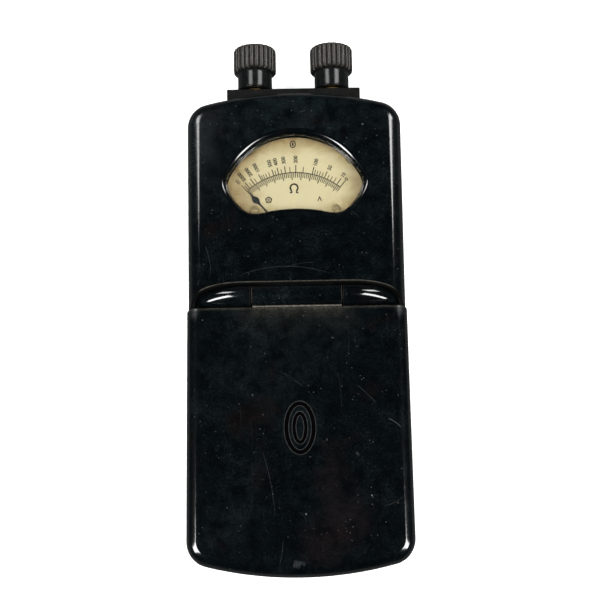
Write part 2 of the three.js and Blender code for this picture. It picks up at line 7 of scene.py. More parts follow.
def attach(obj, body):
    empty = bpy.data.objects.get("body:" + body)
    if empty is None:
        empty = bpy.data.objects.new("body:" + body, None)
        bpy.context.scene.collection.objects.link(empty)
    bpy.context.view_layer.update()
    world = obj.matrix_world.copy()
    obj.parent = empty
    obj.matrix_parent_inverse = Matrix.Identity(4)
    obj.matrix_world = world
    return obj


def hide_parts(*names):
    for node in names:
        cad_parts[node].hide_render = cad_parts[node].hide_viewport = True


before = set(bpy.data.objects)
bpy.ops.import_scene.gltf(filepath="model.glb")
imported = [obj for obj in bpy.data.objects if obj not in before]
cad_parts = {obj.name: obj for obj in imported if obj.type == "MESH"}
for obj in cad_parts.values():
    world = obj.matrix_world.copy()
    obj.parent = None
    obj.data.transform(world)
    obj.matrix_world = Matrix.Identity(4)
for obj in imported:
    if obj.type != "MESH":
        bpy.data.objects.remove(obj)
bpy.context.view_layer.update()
rnd = random.Random(7)

Y0 = -2.65                      # case datum to the row's origin
FZ = 32.0                       # front face
HY, HZ = 1.95, 29.4             # hinge axis
PIV = (0.0, 20.3)               # movement axis


def P(x, y, z):
    return Vector((x / 1000.0, (y + Y0) / 1000.0, z / 1000.0))


# ------------------------------------------------------------------ mesh helpers
def mesh_obj(name, verts, faces, mat=None, smooth=35.0):
    me = bpy.data.meshes.new(name)
    me.from_pydata([P(*v) for v in verts], [], faces)
    me.update()
    ob = bpy.data.objects.new(name, me)
    bpy.context.collection.objects.link(ob)
    bm = bmesh.new()
    bm.from_mesh(me)
    bmesh.ops.recalc_face_normals(bm, faces=bm.faces)
    bm.to_mesh(me)
    bm.free()
    if mat:
        for m in (mat if isinstance(mat, (list, tuple)) else [mat]):
            me.materials.append(m)
    if smooth:
        shade(ob, smooth)
    return ob


def shade(ob, angle=35.0):
    me = ob.data
    me.polygons.foreach_set("use_smooth", [True] * len(me.polygons))
    bm = bmesh.new()
    bm.from_mesh(me)
    lim = math.radians(angle)
    for e in bm.edges:
        e.smooth = not (len(e.link_faces) == 2 and e.calc_face_angle(0.0) > lim)
    bm.to_mesh(me)
    bm.free()


def weighted(ob):
    m = ob.modifiers.new("wn", "WEIGHTED_NORMAL")
    m.keep_sharp = True
    m.weight = 80
    return ob


def loft(name, rings, mat=None, caps=(True, True), smooth=35.0, closed=True, mats=None):
    n = len(rings[0])
    verts = [v for r in rings for v in r]
    faces = []
    span = n if closed else n - 1
    for i in range(len(rings) - 1):
        for j in range(span):
            a, b = i * n + j, i * n + (j + 1) % n
            faces.append((a, b, b + n, a + n))
    if caps[0]:
        faces.append(tuple(range(n - 1, -1, -1)))
    if caps[1]:
        k = (len(rings) - 1) * n
        faces.append(tuple(range(k, k + n)))
    return mesh_obj(name, verts, faces, mat, smooth)


def boolean(ob, cutter, op="DIFFERENCE", drop=True):
    for solver in ("MANIFOLD", "EXACT"):
        try:
            m = ob.modifiers.new("b", "BOOLEAN")
            m.operation, m.object, m.solver = op, cutter, solver
            if hasattr(m, "material_mode"):
                try:
                    m.material_mode = "TRANSFER"
                except Exception:
                    pass
            bpy.context.view_layer.update()
            dep = bpy.context.evaluated_depsgraph_get()
            me = bpy.data.meshes.new_from_object(ob.evaluated_get(dep), preserve_all_data_layers=True, depsgraph=dep)
            ob.modifiers.remove(m)
        except Exception:
            for m in list(ob.modifiers):
                ob.modifiers.remove(m)
            continue
        if len(me.polygons) and (op == "DIFFERENCE" or len(me.polygons) > 4):
            old = ob.data
            ob.data = me
            me.name = old.name
            break
    if drop:
        bpy.data.objects.remove(cutter, do_unlink=True)
    return ob


def join(name, obs):
    obs = [o for o in obs if o]
    mats, verts, faces, idx, sm = [], [], [], [], []
    sharp = []
    for o in obs:
        base = len(verts)
        verts += [tuple(v.co) for v in o.data.vertices]
        local = []
        for m in o.data.materials:
            if m not in mats:
                mats.append(m)
            local.append(mats.index(m))
        for p in o.data.polygons:
            faces.append([base + k for k in p.vertices])
            idx.append(local[p.material_index] if local else 0)
            sm.append(p.use_smooth)
    me = bpy.data.meshes.new(name)
    me.from_pydata(verts, [], faces)
    for m in mats:
        me.materials.append(m)
    me.polygons.foreach_set("material_index", idx)
    me.update()
    ob = bpy.data.objects.new(name, me)
    bpy.context.collection.objects.link(ob)
    for o in obs:
        bpy.data.objects.remove(o, do_unlink=True)
    shade(ob, 35)
    return ob


def turned(name, axis, c, profile, n=64, mat=None, smooth=35.0):
    """Solid of revolution; profile is [(radius, along)], ends on the axis."""
    rings = []
    prof = [p for p in profile]
    verts, faces = [], []

    def put(r, t, a):
        u, w = r * math.cos(a), r * math.sin(a)
        if axis == "y":
            return (c[0] + u, t, c[1] + w)
        if axis == "x":
            return (t, c[0] + u, c[1] + w)
        return (c[0] + u, c[1] + w, t)
    k0 = 1 if prof[0][0] < 1e-6 else 0
    k1 = len(prof) - 1 if prof[-1][0] < 1e-6 else len(prof)
    body = prof[k0:k1]
    for r, t in body:
        for j in range(n):
            verts.append(put(r, t, 2 * math.pi * j / n))
    for i in range(len(body) - 1):
        for j in range(n):
            a, b = i * n + j, i * n + (j + 1) % n
            faces.append((a, b, b + n, a + n))
    if k0:
        verts.append(put(0, prof[0][1], 0))
        v = len(verts) - 1
        for j in range(n):
            faces.append((v, (j + 1) % n, j))
    if k1 < len(prof):
        verts.append(put(0, prof[-1][1], 0))
        v, k = len(verts) - 1, (len(body) - 1) * n
        for j in range(n):
            faces.append((v, k + j, k + (j + 1) % n))
    if not k0 and k1 == len(prof):        # ring profile closed on itself
        k = (len(body) - 1) * n
        for j in range(n):
            faces.append((k + j, k + (j + 1) % n, (j + 1) % n, j))
    return mesh_obj(name, verts, faces, mat, smooth)


def block(name, x, y, z, r=0.3, mat=None, seg=3):
    """Box with rounded edges."""
    bm = bmesh.new()
    bmesh.ops.create_cube(bm, size=1.0)
    for v in bm.verts:
        v.co = P(x[0] + (v.co.x + 0.5) * (x[1] - x[0]), y[0] + (v.co.y + 0.5) * (y[1] - y[0]), z[0] + (v.co.z + 0.5) * (z[1] - z[0]))
    if r:
        bmesh.ops.bevel(bm, geom=list(bm.edges), offset=r / 1000.0, segments=seg, profile=0.5, affect="EDGES")
    me = bpy.data.meshes.new(name)
    bm.to_mesh(me)
    bm.free()
    ob = bpy.data.objects.new(name, me)
    bpy.context.collection.objects.link(ob)
    if mat:
        me.materials.append(mat)
    shade(ob, 35)
    weighted(ob)
    return ob


# ------------------------------------------------------------------ outlines
ARC_R, COR_R = 120.0, 8.0


def bowed_end(half, tip, s, inset, nc=14, nb=14):
    R, rc = ARC_R - inset, COR_R - inset
    cya = tip - s * ARC_R
    cx = half - COR_R
    cy = cya + s * math.sqrt((ARC_R - COR_R) ** 2 - cx ** 2)
    tan = math.atan2(abs(cy - cya), cx)
    right = []
    for i in range(nc + 1):
        a = i / nc * tan
        right.append((cx + rc * math.cos(a), cy + s * rc * math.sin(a)))
    for i in range(1, nb + 1):
        a = tan + i / nb * (math.pi / 2 - tan)
        right.append((R * math.cos(a) if i < nb else 0.0, cya + s * R * math.sin(a)))
    return right + [(-p[0], p[1]) for p in reversed(right[:-1])]


def case_outline(inset):
    top = bowed_end(35.2, 70.9, 1, inset)
    bot = list(reversed(bowed_end(35.0, -85.65, -1, inset)))
    hm = 34.8
    pts = top[:]
    for y in (40, 20, 2, -20, -50):
        k = hm + (35.2 - hm) * max(0, (y - 2) / 57) + (35.0 - hm) * max(0, (2 - y) / 76)
        pts.append((-(k - inset), y))
    pts += bot
    for y in (-50, -20, 2, 20, 40):
        k = hm + (35.2 - hm) * max(0, (y - 2) / 57) + (35.0 - hm) * max(0, (2 - y) / 76)
        pts.append((k - inset, y))
    return pts


def lid_outline(inset, edge=0.0, top=-2.0, rc=1.3):
    """Lid plan: bowed lower end, straight hinge edge with small corner radii."""
    hb, ht = 35.35, 35.2
    bot = list(reversed(bowed_end(hb, -86.15, -1, inset)))
    pts = list(bot)                                   # left side to right side over the tip
    for y in (-50, -25):
        pts.append((hb - (hb - ht) * (y + 75) / 73 - inset, y))
    r = max(rc - inset * 0.25, 0.3)
    cx, cy = ht - inset - r, top - edge - r
    for i in range(7):
        a = i / 6 * math.pi / 2
        pts.append((cx + r * math.cos(a), cy + r * math.sin(a)))
    for x in (20, 0, -20):
        pts.append((x, top - edge))
    for i in range(7):
        a = math.pi / 2 + i / 6 * math.pi / 2
        pts.append((-cx + r * math.cos(a), cy + r * math.sin(a)))
    for y in (-25, -50):
        pts.append((-(hb - (hb - ht) * (y + 75) / 73 - inset), y))
    return pts


def ring_at(pts, z):
    return [(p[0], p[1], z) for p in pts]


WIN_OUT = [(0, 57.3), (7.2, 56.25), (13.3, 53.45), (18.2, 49.3), (21.4, 45.1), (23.4, 41.4), (23.9, 38.9), (22.9, 35.6), (20.6, 32.2),
           (18.0, 29.2), (15.2, 27.55), (12.2, 27.55), (8.0, 28.5), (4.0, 29.05), (0, 29.2)]
WIN_IN = [(0, 55.0), (6.7, 54.0), (12.4, 51.4), (16.9, 47.7), (19.9, 43.9), (21.6, 40.6), (21.8, 38.6), (20.9, 36.0), (18.8, 32.9),
          (16.6, 30.7), (14.6, 29.6), (12.0, 29.5), (8.0, 30.3), (4.0, 30.8), (0, 30.95)]


def closed_spline(ctrl, per=8):
    n = len(ctrl)
    out = []
    for i in range(n):
        p0, p1, p2, p3 = (Vector(ctrl[(i + k) % n]) for k in (-1, 0, 1, 2))
        # centripetal Catmull-Rom
        d1, d2, d3 = (max((b - a).length, 1e-6) ** 0.5 for a, b in ((p0, p1), (p1, p2), (p2, p3)))
        m1 = (p2 - p1) + d2 * ((p1 - p0) / d1 - (p2 - p0) / (d1 + d2))
        m2 = (p2 - p1) + d2 * ((p3 - p2) / d3 - (p3 - p1) / (d2 + d3))
        for k in range(per):
            t = k / per
            h = (2 * t ** 3 - 3 * t ** 2 + 1, t ** 3 - 2 * t ** 2 + t, -2 * t ** 3 + 3 * t ** 2, t ** 3 - t ** 2)
            out.append(p1 * h[0] + m1 * h[1] + p2 * h[2] + m2 * h[3])
    return out


def window_loop(mix, off=0.0, per=8):
    right = [(a[0] + (b[0] - a[0]) * mix, a[1] + (b[1] - a[1]) * mix) for a, b in zip(WIN_OUT, WIN_IN)]
    ctrl = right + [(-p[0], p[1]) for p in reversed(right[1:-1])]
    pts = closed_spline(ctrl, per)
    if off:
        n = len(pts)
        moved = []
        for i in range(n):
            t = pts[(i + 1) % n] - pts[i - 1]
            t.normalize()
            moved.append(pts[i] + Vector((-t.y, t.x)) * off)       # loop runs clockwise, so this is outward
        pts = moved
    return [(p.x, p.y) for p in pts]


def knuckle_plan(off, inner, n=26, low=3.0):
    pts = []
    rx, ry, e, x0, y0 = 17.4 + off, 7.2 + off, 2.4, 16.0, -1.65
    for i in range(n + 1):
        t = i / n * math.pi / 2
        pts.append((x0 + rx * math.cos(t) ** (2 / e) if i < n else x0, y0 + ry * math.sin(t) ** (2 / e) if i else y0))
    pts.append((inner, y0 + ry))
    pts.append((inner, y0 - low))
    pts.append((x0 + rx, y0 - low))
    return pts


# ------------------------------------------------------------------ node helpers
class Mat:
    def __init__(self, name):
        self.m = bpy.data.materials.new(name)
        self.m.use_nodes = True
        self.t = self.m.node_tree
        self.b = self.t.nodes["Principled BSDF"]
        tc = self.t.nodes.new("ShaderNodeTexCoord")
        sc = self.t.nodes.new("ShaderNodeVectorMath")
        sc.operation = "SCALE"
        sc.inputs["Scale"].default_value = 1000.0           # object coordinates in mm
        self.t.links.new(tc.outputs["Object"], sc.inputs[0])
        self.p = sc.outputs[0]

    def link(self, a, b):
        self.t.links.new(a, b)

    def val(self, x, sock):
        if hasattr(x, "is_linked"):
            self.link(x, sock)
        else:
            sock.default_value = x

    def math(self, op, a, b=0.0, c=0.0, clamp=False):
        n = self.t.nodes.new("ShaderNodeMath")
        n.operation = op
        n.use_clamp = clamp
        self.val(a, n.inputs[0])
        self.val(b, n.inputs[1])
        self.val(c, n.inputs[2])
        return n.outputs[0]

    def vec(self, op, a, b=(0, 0, 0), out=0):
        n = self.t.nodes.new("ShaderNodeVectorMath")
        n.operation = op
        self.val(a, n.inputs[0])
        self.val(b, n.inputs[1])
        return n.outputs[out]

    def scaled(self, sx, sy, sz, rot=0.0, loc=(0, 0, 0)):
        n = self.t.nodes.new("ShaderNodeMapping")
        self.link(self.p, n.inputs["Vector"])
        n.inputs["Scale"].default_value = (sx, sy, sz)
        n.inputs["Rotation"].default_value = (0, 0, rot)
        n.inputs["Location"].default_value = loc
        return n.outputs[0]

    def noise(self, scale, detail=4.0, rough=0.55, vec=None, dist=0.0, loc=None):
        n = self.t.nodes.new("ShaderNodeTexNoise")
        v = vec if vec is not None else (self.scaled(1, 1, 1, 0, loc) if loc else self.p)
        self.link(v, n.inputs["Vector"])
        n.inputs["Scale"].default_value = scale
        n.inputs["Detail"].default_value = detail
        n.inputs["Roughness"].default_value = rough
        n.inputs["Distortion"].default_value = dist
        return n.outputs[0]

    def voronoi(self, scale, vec=None, feature="F1", rnd=1.0):
        n = self.t.nodes.new("ShaderNodeTexVoronoi")
        n.feature = feature
        self.link(vec if vec is not None else self.p, n.inputs["Vector"])
        n.inputs["Scale"].default_value = scale
        n.inputs["Randomness"].default_value = rnd
        return n.outputs["Distance"]

    def ramp(self, x, lo, hi, a=0.0, b=1.0):
        n = self.t.nodes.new("ShaderNodeMapRange")
        n.interpolation_type = "SMOOTHSTEP"
        self.link(x, n.inputs["Value"])
        n.inputs["From Min"].default_value = lo
        n.inputs["From Max"].default_value = hi
        n.inputs["To Min"].default_value = a
        n.inputs["To Max"].default_value = b
        return n.outputs[0]

    def mix(self, f, a, b):
        n = self.t.nodes.new("ShaderNodeMix")
        n.data_type = "RGBA"
        self.val(f, n.inputs["Factor"])
        for s, x in ((n.inputs[6], a), (n.inputs[7], b)):
            if hasattr(x, "is_linked"):
                self.link(x, s)
            else:
                s.default_value = (*x[:3], 1.0)
        return n.outputs[2]

    def xyz(self):
        n = self.t.nodes.new("ShaderNodeSeparateXYZ")
        self.link(self.p, n.inputs[0])
        return n.outputs[0], n.outputs[1], n.outputs[2]

    def bump(self, h, strength=0.1, distance=0.0001, normal=None):
        n = self.t.nodes.new("ShaderNodeBump")
        n.inputs["Strength"].default_value = strength
        n.inputs["Distance"].default_value = distance
        self.link(h, n.inputs["Height"])
        if normal is not None:
            self.link(normal, n.inputs["Normal"])
        return n.outputs[0]

    def segment(self, a, b, width, bow=0.0):
        """1 on a thin line from a to b in the XY plane (row frame, mm), fading over width."""
        ab = (b[0] - a[0], b[1] - a[1])
        l2 = ab[0] ** 2 + ab[1] ** 2
        d = self.vec("SUBTRACT", self.flat(), (a[0], a[1], 0))
        t = self.math("DIVIDE", self.vec("DOT_PRODUCT", d, (ab[0], ab[1], 0), out=1), l2, clamp=True)
        n = self.t.nodes.new("ShaderNodeVectorMath")
        n.operation = "SCALE"
        n.inputs[0].default_value = (ab[0], ab[1], 0)
        self.link(t, n.inputs["Scale"])
        off = self.vec("SUBTRACT", d, n.outputs[0])
        if bow:
            arch = self.math("MULTIPLY", self.math("MULTIPLY", t, self.math("SUBTRACT", 1.0, t)), 4 * bow)
            l = math.sqrt(l2)
            m = self.t.nodes.new("ShaderNodeVectorMath")
            m.operation = "SCALE"
            m.inputs[0].default_value = (-ab[1] / l, ab[0] / l, 0)
            self.link(arch, m.inputs["Scale"])
            off = self.vec("SUBTRACT", off, m.outputs[0])
        dist = self.vec("LENGTH", off, out=1)
        line = self.ramp(dist, width, width * 0.3)
        ends = self.math("MULTIPLY", self.ramp(t, 0.0, 0.12), self.ramp(t, 1.0, 0.8))
        return self.math("MULTIPLY", line, ends)

    def flat(self):
        if not hasattr(self, "_flat"):
            self._flat = self.vec("MULTIPLY", self.p, (1, 1, 0))
        return self._flat

    def set(self, **kw):
        for k, v in kw.items():
            s = self.b.inputs[k.replace("_", " ")]
            if hasattr(v, "is_linked"):
                self.link(v, s)
            elif k == "Base_Color" or k == "Coat_Tint" or k == "Sheen_Tint":
                s.default_value = (*v[:3], 1.0)
            else:
                s.default_value = v
        return self.m


def bakelite(name, seed=0.0, haze=1.0, scratches=(), zones=(), dusty=0.0, rough=(0.075, 0.105), dust_and_sheen_lines=(), browns=(), edge=0.0, grain=1.0):
    """Old black phenolic: bluish black, hazed by handling, brownish where it has oxidised, with specks and scratches."""
    s = Mat(name)
    loc = (seed * 13.7, seed * 7.3, seed * 3.1)
    broad = s.noise(0.055, 5.0, 0.6, loc=loc, dist=0.6)
    mid = s.noise(0.22, 6.0, 0.65, loc=(loc[0] + 50, loc[1], loc[2]))
    fine = s.noise(1.6, 5.0, 0.7, loc=(loc[0], loc[1] + 50, loc[2]))
    film = s.math("MULTIPLY", s.ramp(broad, 0.40, 0.68), s.ramp(mid, 0.34, 0.66), clamp=True)
    film = s.math("ADD", s.math("MULTIPLY", film, 0.50), s.math("MULTIPLY", s.ramp(mid, 0.3, 0.75), 0.40), clamp=True)
    film = s.math("MULTIPLY", film, s.ramp(fine, 0.37, 0.62, 0.0, 1.7))
    frost = None
    for zone in zones:
        cx, cy, r, gain = zone[:4]
        d = s.vec("DISTANCE", s.flat(), (cx, cy + Y0, 0), out=1)
        near = s.ramp(d, r, r * 0.1)
        film = s.math("ADD", film, s.math("MULTIPLY", s.math("MULTIPLY", near, gain), s.ramp(mid, 0.3, 0.62)))
        if len(zone) > 4:
            q = s.math("MULTIPLY", near, zone[4])
            frost = q if frost is None else s.math("ADD", frost, q)
    film = s.math("MULTIPLY", film, haze, clamp=True)
    base = s.mix(film, (0.0003, 0.0008, 0.0011), (0.0044, 0.0070, 0.0078))
    # oxidised brown patches
    brown = s.math("MULTIPLY", s.ramp(s.noise(0.045, 4.0, 0.55, loc=(loc[0] + 21, loc[1] - 9, loc[2]), dist=0.8), 0.54, 0.72), 0.55)
    base = s.mix(brown, base, (0.0040, 0.0024, 0.0024))
    for (cx, cy, r, gain) in browns:
        d = s.vec("DISTANCE", s.flat(), (cx, cy + Y0, 0), out=1)
        q = s.math("MULTIPLY", s.math("MULTIPLY", s.ramp(d, r, r * 0.3), s.ramp(mid, 0.34, 0.60, 0.2, 1.0)), gain, clamp=True)
        base = s.mix(q, base, (0.0050, 0.0027, 0.0031))
    # dust specks, small and a few larger
    sp = s.voronoi(0.55, vec=s.scaled(1, 1, 1, 0.4, loc))
    spot = s.math("MULTIPLY", s.ramp(sp, 0.125, 0.06), s.ramp(s.noise(0.30, 2.0, 0.5, loc=(loc[0] - 40, loc[1], loc[2])), 0.47, 0.58))
    sp2 = s.voronoi(1.9, vec=s.scaled(1, 1, 1, 1.1, loc))
    spot2 = s.math("MULTIPLY", s.ramp(sp2, 0.22, 0.08), s.ramp(s.noise(0.5, 3.0, 0.6, loc=(loc[0], loc[1] - 70, loc[2])), 0.42, 0.62))
    specks = s.math("ADD", spot, s.math("MULTIPLY", spot2, 0.45), clamp=True)
    base = s.mix(s.math("MULTIPLY", specks, 0.60 if grain > 0.5 else 0.12), base, (0.062, 0.066, 0.060))
    # hairline wear: long stretched noise in two directions
    hair = None
    for ang, sx, sy, off in ((0.35, 3.2, 0.05, 3), (-0.62, 2.6, 0.06, 11), (1.45, 3.6, 0.045, 23)):
        h = s.noise(1.0, 2.0, 0.5, vec=s.scaled(sx, sy, 0.3, ang, (off + seed, off, 0)))
        h = s.ramp(h, 0.715, 0.76)
        hair = h if hair is None else s.math("ADD", hair, h, clamp=True)
    hair = s.math("MULTIPLY", hair, s.ramp(s.noise(0.12, 3.0, 0.5, loc=(loc[0] + 5, loc[1] + 91, loc[2])), 0.42, 0.66))
    deep = None
    for sc in scratches:
        a, b, w, gain = sc[:4]
        bow = sc[4] if len(sc) > 4 else 0.0
        q = s.math("MULTIPLY", s.segment((a[0], a[1] + Y0), (b[0], b[1] + Y0), w, bow), gain)
        q = s.math("MULTIPLY", q, s.ramp(fine, 0.30, 0.55, 0.35, 1.0))
        deep = q if deep is None else s.math("ADD", deep, q, clamp=True)
    wear = s.math("MULTIPLY", hair, 0.14)
    if deep is not None:
        wear = s.math("ADD", wear, deep, clamp=True)
    base = s.mix(wear, base, (0.052, 0.057, 0.056))
    x, y, z = s.xyz()
    ax = s.math("ABSOLUTE", x)
    for (ya, yb, xh, gain) in dust_and_sheen_lines:                 # soft lighter lines across the part, strongest at yb: dust, and on some edges a painted highlight
        q = s.math("MULTIPLY", s.math("MULTIPLY", s.ramp(y, ya + Y0, yb + Y0), s.ramp(ax, xh + 3, xh - 1)), gain)
        q = s.math("MULTIPLY", q, s.math("MULTIPLY", s.ramp(fine, 0.28, 0.62, 0.25, 1.0), s.ramp(mid, 0.25, 0.65, 0.35, 1.0)), clamp=True)
        q = s.math("MULTIPLY", q, s.ramp(z, 26.8, 28.2))            # kept to the upper side only, where dust settles and where the painted edge highlights sit
        base = s.mix(q, base, (0.085, 0.078, 0.062))
    if dusty:
        dd = s.math("MULTIPLY", s.ramp(s.noise(0.8, 5.0, 0.7, loc=(loc[0] + 3, loc[1], loc[2])), 0.25, 0.65), dusty, clamp=True)
        base = s.mix(dd, base, (0.105, 0.088, 0.066))
    r = s.math("ADD", s.ramp(film, 0.0, 1.0, rough[0], rough[1]), s.math("MULTIPLY", s.ramp(fine, 0.3, 0.7), 0.02))
    if edge:
        r = s.math("ADD", r, s.math("MULTIPLY", s.ramp(ax, 30.5, 34.3), edge))
    if frost is not None:
        r = s.math("ADD", r, s.math("MULTIPLY", frost, s.ramp(fine, 0.25, 0.7, 0.88, 1.1)))
    if dusty:
        r = s.math("ADD", r, s.math("MULTIPLY", dd, 0.4), clamp=True)
    hgt = s.math("ADD", s.math("MULTIPLY", s.noise(0.35, 3.0, 0.5, loc=loc), 0.7), s.math("MULTIPLY", fine, 0.18))
    nrm = s.bump(hgt, 0.10 * grain, 0.00012)
    if deep is not None:
        nrm = s.bump(s.math("SUBTRACT", 1.0, deep), 0.25, 0.00005, nrm)
    return s.set(Base_Color=base, Roughness=r, Normal=nrm, Specular_IOR_Level=0.5, IOR=1.6)


def metal(name, bright, dull, rough=(0.28, 0.6), scale=0.9, patina=0.5, seed=0):
    s = Mat(name)
    n1 = s.noise(scale, 6.0, 0.65, loc=(seed, seed * 2, 0))
    n2 = s.noise(scale * 5, 4.0, 0.6, loc=(seed, 5, seed))
    f = s.math("MULTIPLY", s.ramp(n1, 0.35, 0.68), patina * 2, clamp=True)
    base = s.mix(f, bright, dull)
    base = s.mix(s.ramp(n2, 0.60, 0.78, 0.0, 0.5), base, tuple(c * 0.35 for c in dull))
    r = s.ramp(f, 0, 1, rough[0], rough[1])
    return s.set(Base_Color=base, Roughness=r, Metallic=1.0, Normal=s.bump(n2, 0.12, 0.00004))


def plain(name, col, dark, rough=0.55, scale=0.8, spec=0.4, bump=0.1, metallic=0.0):
    s = Mat(name)
    n1 = s.noise(scale, 5.0, 0.6)
    n2 = s.noise(scale * 6, 3.0, 0.6)
    base = s.mix(s.ramp(n1, 0.3, 0.7), col, dark)
    return s.set(Base_Color=base, Roughness=s.ramp(n2, 0.2, 0.8, rough - 0.08, rough + 0.1), Specular_IOR_Level=spec,
                 Metallic=metallic, Normal=s.bump(n2, bump, 0.00005))


def px(u, v):
    """Front-plane millimetres of a place given in the 600 x 600 frame (only used to set wear marks)."""
    F, th, ro = 1200.0, math.radians(11.5), math.radians(-1.0)
    D = F / 3.147
    fwd = Vector((0, math.sin(th), -math.cos(th)))
    up = Vector((0, math.cos(th), math.sin(th)))
    rt = Vector((1, 0, 0))
    x, y = (u - 300) / F, (300 - v) / F
    xr, yr = x * math.cos(ro) - y * math.sin(ro), x * math.sin(ro) + y * math.cos(ro)
    d = fwd + rt * xr + up * yr
    c = -fwd * D
    q = c + d * (-c.z / d.z)
    return (q.x + 1.0, q.y)


# ------------------------------------------------------------------ materials
case_scr = [(px(235, 277), px(335, 275), 0.13, 0.26, 3.2), (px(205, 245), px(211, 275), 0.12, 0.30, 0.4), (px(283, 268), px(318, 262), 0.10, 0.22, 0.5),
            (px(345, 205), px(360, 218), 0.12, 0.2, 0.0), (px(300, 112), px(306, 110), 0.22, 0.22), (px(362, 123.8), px(363.4, 124.2), 0.42, 1.0),
            (px(370, 225), px(385, 215), 0.10, 0.18, 0.2), (px(240, 146), px(241, 147), 0.35, 0.6), (px(291, 110), px(292, 110.6), 0.32, 0.5)]
lid_scr = [(px(283, 540), px(279, 567), 0.13, 0.26, 0.3), (px(262, 450), px(275, 520), 0.12, 0.24, 0.8), (px(278, 370), px(305, 388), 0.10, 0.24, 0.2),
           (px(356, 384), px(378, 405), 0.13, 0.28, 0.2), (px(388, 418), px(402, 428), 0.20, 0.50, 0.3), (px(383, 506), px(405, 495), 0.12, 0.30, -0.6),
           (px(338, 372), px(342, 410), 0.09, 0.18, 0.2), (px(300, 512), px(308, 522), 0.12, 0.2, 0.1), (px(305.6, 514), px(307, 514.6), 0.45, 1.0),
           (px(371.6, 495.2), px(373, 495.8), 0.42, 1.0), (px(252, 394.6), px(253.4, 395), 0.36, 0.8), (px(331.6, 337.2), px(332.6, 337.8), 0.34, 0.6),
           (px(293, 564), px(301, 566), 1.5, 0.26, 0.2), (px(299, 563), px(306, 565), 0.8, 0.18, 0.1),
           (px(356, 452), px(359, 456), 0.5, 0.32, 0.1)]
# the case's line along its top edge (y 69.7 to 70.7) is a painted highlight on the rounded edge
m_case = bakelite("bakelite_case", 1.0, 0.66, case_scr, edge=0.12, dust_and_sheen_lines=((69.7, 70.7, 24, 0.35),), zones=((-33, 60, 20, 0.55, 0.085), (-33, 40, 20, 0.25, 0.06), (33, 60, 15, 0.2, 0.05), (26, 30, 14, 0.2), (0, 63, 30, 0.8), (33, 44, 12, 0.1, 0.03)))
# lid lines: dust below the roll; along the hinge edge (y -3.2 to -2.2) dust together with a painted highlight on the
# edge fillet
m_lid = bakelite("bakelite_lid", 2.0, 0.54, lid_scr, edge=0.07, browns=(px(330, 480) + (8, 0.45), px(345, 520) + (12, 0.55), px(322, 545) + (10, 0.45), px(262, 478) + (6, 0.25)), zones=((-34, -2.6, 5, 0.2, 0.24), (34, -2.6, 5, 0.2, 0.24), (-12, -25, 26, 0.35), (-20, -68, 16, 0.4), (0.5, -41.8, 10, 0.5), (10, -6, 24, 0.35), (-15, -5, 18, 0.35), (12, -62, 18, 0.3)),
                 dust_and_sheen_lines=((-6.5, -2.2, 14, 0.17), (-3.2, -2.2, 60, 0.28), (-14, -4, 18, 0.05)))
m_dusty = bakelite("bakelite_dusty", 3.0, 1.2, dusty=0.9, rough=(0.45, 0.7))
m_web = bakelite("bakelite_web", 3.4, 1.2, dusty=1.0, rough=(0.45, 0.7))
m_lip = bakelite("bakelite_window_lip", 4.0, 0.35, rough=(0.10, 0.17), grain=0.2)
m_knuckle = bakelite("bakelite_knuckle", 5.0, 0.9, rough=(0.08, 0.15))
m_inside = bakelite("bakelite_inside", 6.0, 1.3, rough=(0.4, 0.6))


def groove_material():
    """Groove walls: nearly black below, with dust caught along the top edge."""
    s = Mat("bakelite_groove")
    x, y, z = s.xyz()
    n1 = s.noise(0.55, 5.0, 0.65)
    n2 = s.noise(2.2, 4.0, 0.6)
    top = s.math("MULTIPLY", s.ramp(z, 31.55, 32.05), s.ramp(n1, 0.30, 0.66, 0.25, 1.0))
    low = s.math("MULTIPLY", s.ramp(n2, 0.52, 0.72), 0.10)
    base = s.mix(low, (0.0022, 0.0024, 0.0024), (0.030, 0.026, 0.020))
    base = s.mix(top, base, (0.046, 0.041, 0.031))
    return s.set(Base_Color=base, Roughness=0.62, Specular_IOR_Level=0.2, Normal=s.bump(n2, 0.2, 0.00005))


m_groove = groove_material()
m_slit = plain("bakelite_slit", (0.0020, 0.0020, 0.0020), (0.0070, 0.0062, 0.0050), 0.6, 1.6, 0.05)
m_knob = None


def knob_material():
    """Knobs: dusty brown-grey worn flutes, cleaner collar."""
    s = Mat("bakelite_knob")
    x, y, z = s.xyz()
    n1 = s.noise(0.9, 5.0, 0.65)
    n2 = s.noise(3.0, 4.0, 0.6)
    head = s.ramp(y, 82.3 + Y0, 83.6 + Y0)
    wear = s.math("MULTIPLY", head, s.ramp(n1, 0.30, 0.62, 0.25, 1.0))
    base = s.mix(s.ramp(n1, 0.3, 0.7), (0.0028, 0.0034, 0.0038), (0.0065, 0.0070, 0.0070))
    base = s.mix(s.math("MULTIPLY", wear, 0.75), base, (0.024, 0.020, 0.0155))
    base = s.mix(s.ramp(n2, 0.64, 0.76, 0, 0.4), base, (0.045, 0.040, 0.032))
    r = s.math("ADD", s.math("MULTIPLY", s.ramp(n1, 0.2, 0.8, 0.20, 0.27), s.ramp(head, 0.0, 1.0, 0.68, 0.92)), s.math("MULTIPLY", wear, 0.12))
    return s.set(Base_Color=base, Roughness=r, IOR=1.5, Specular_IOR_Level=s.ramp(head, 0.0, 1.0, 0.24, 0.36), Normal=s.bump(n2, 0.15, 0.00006))


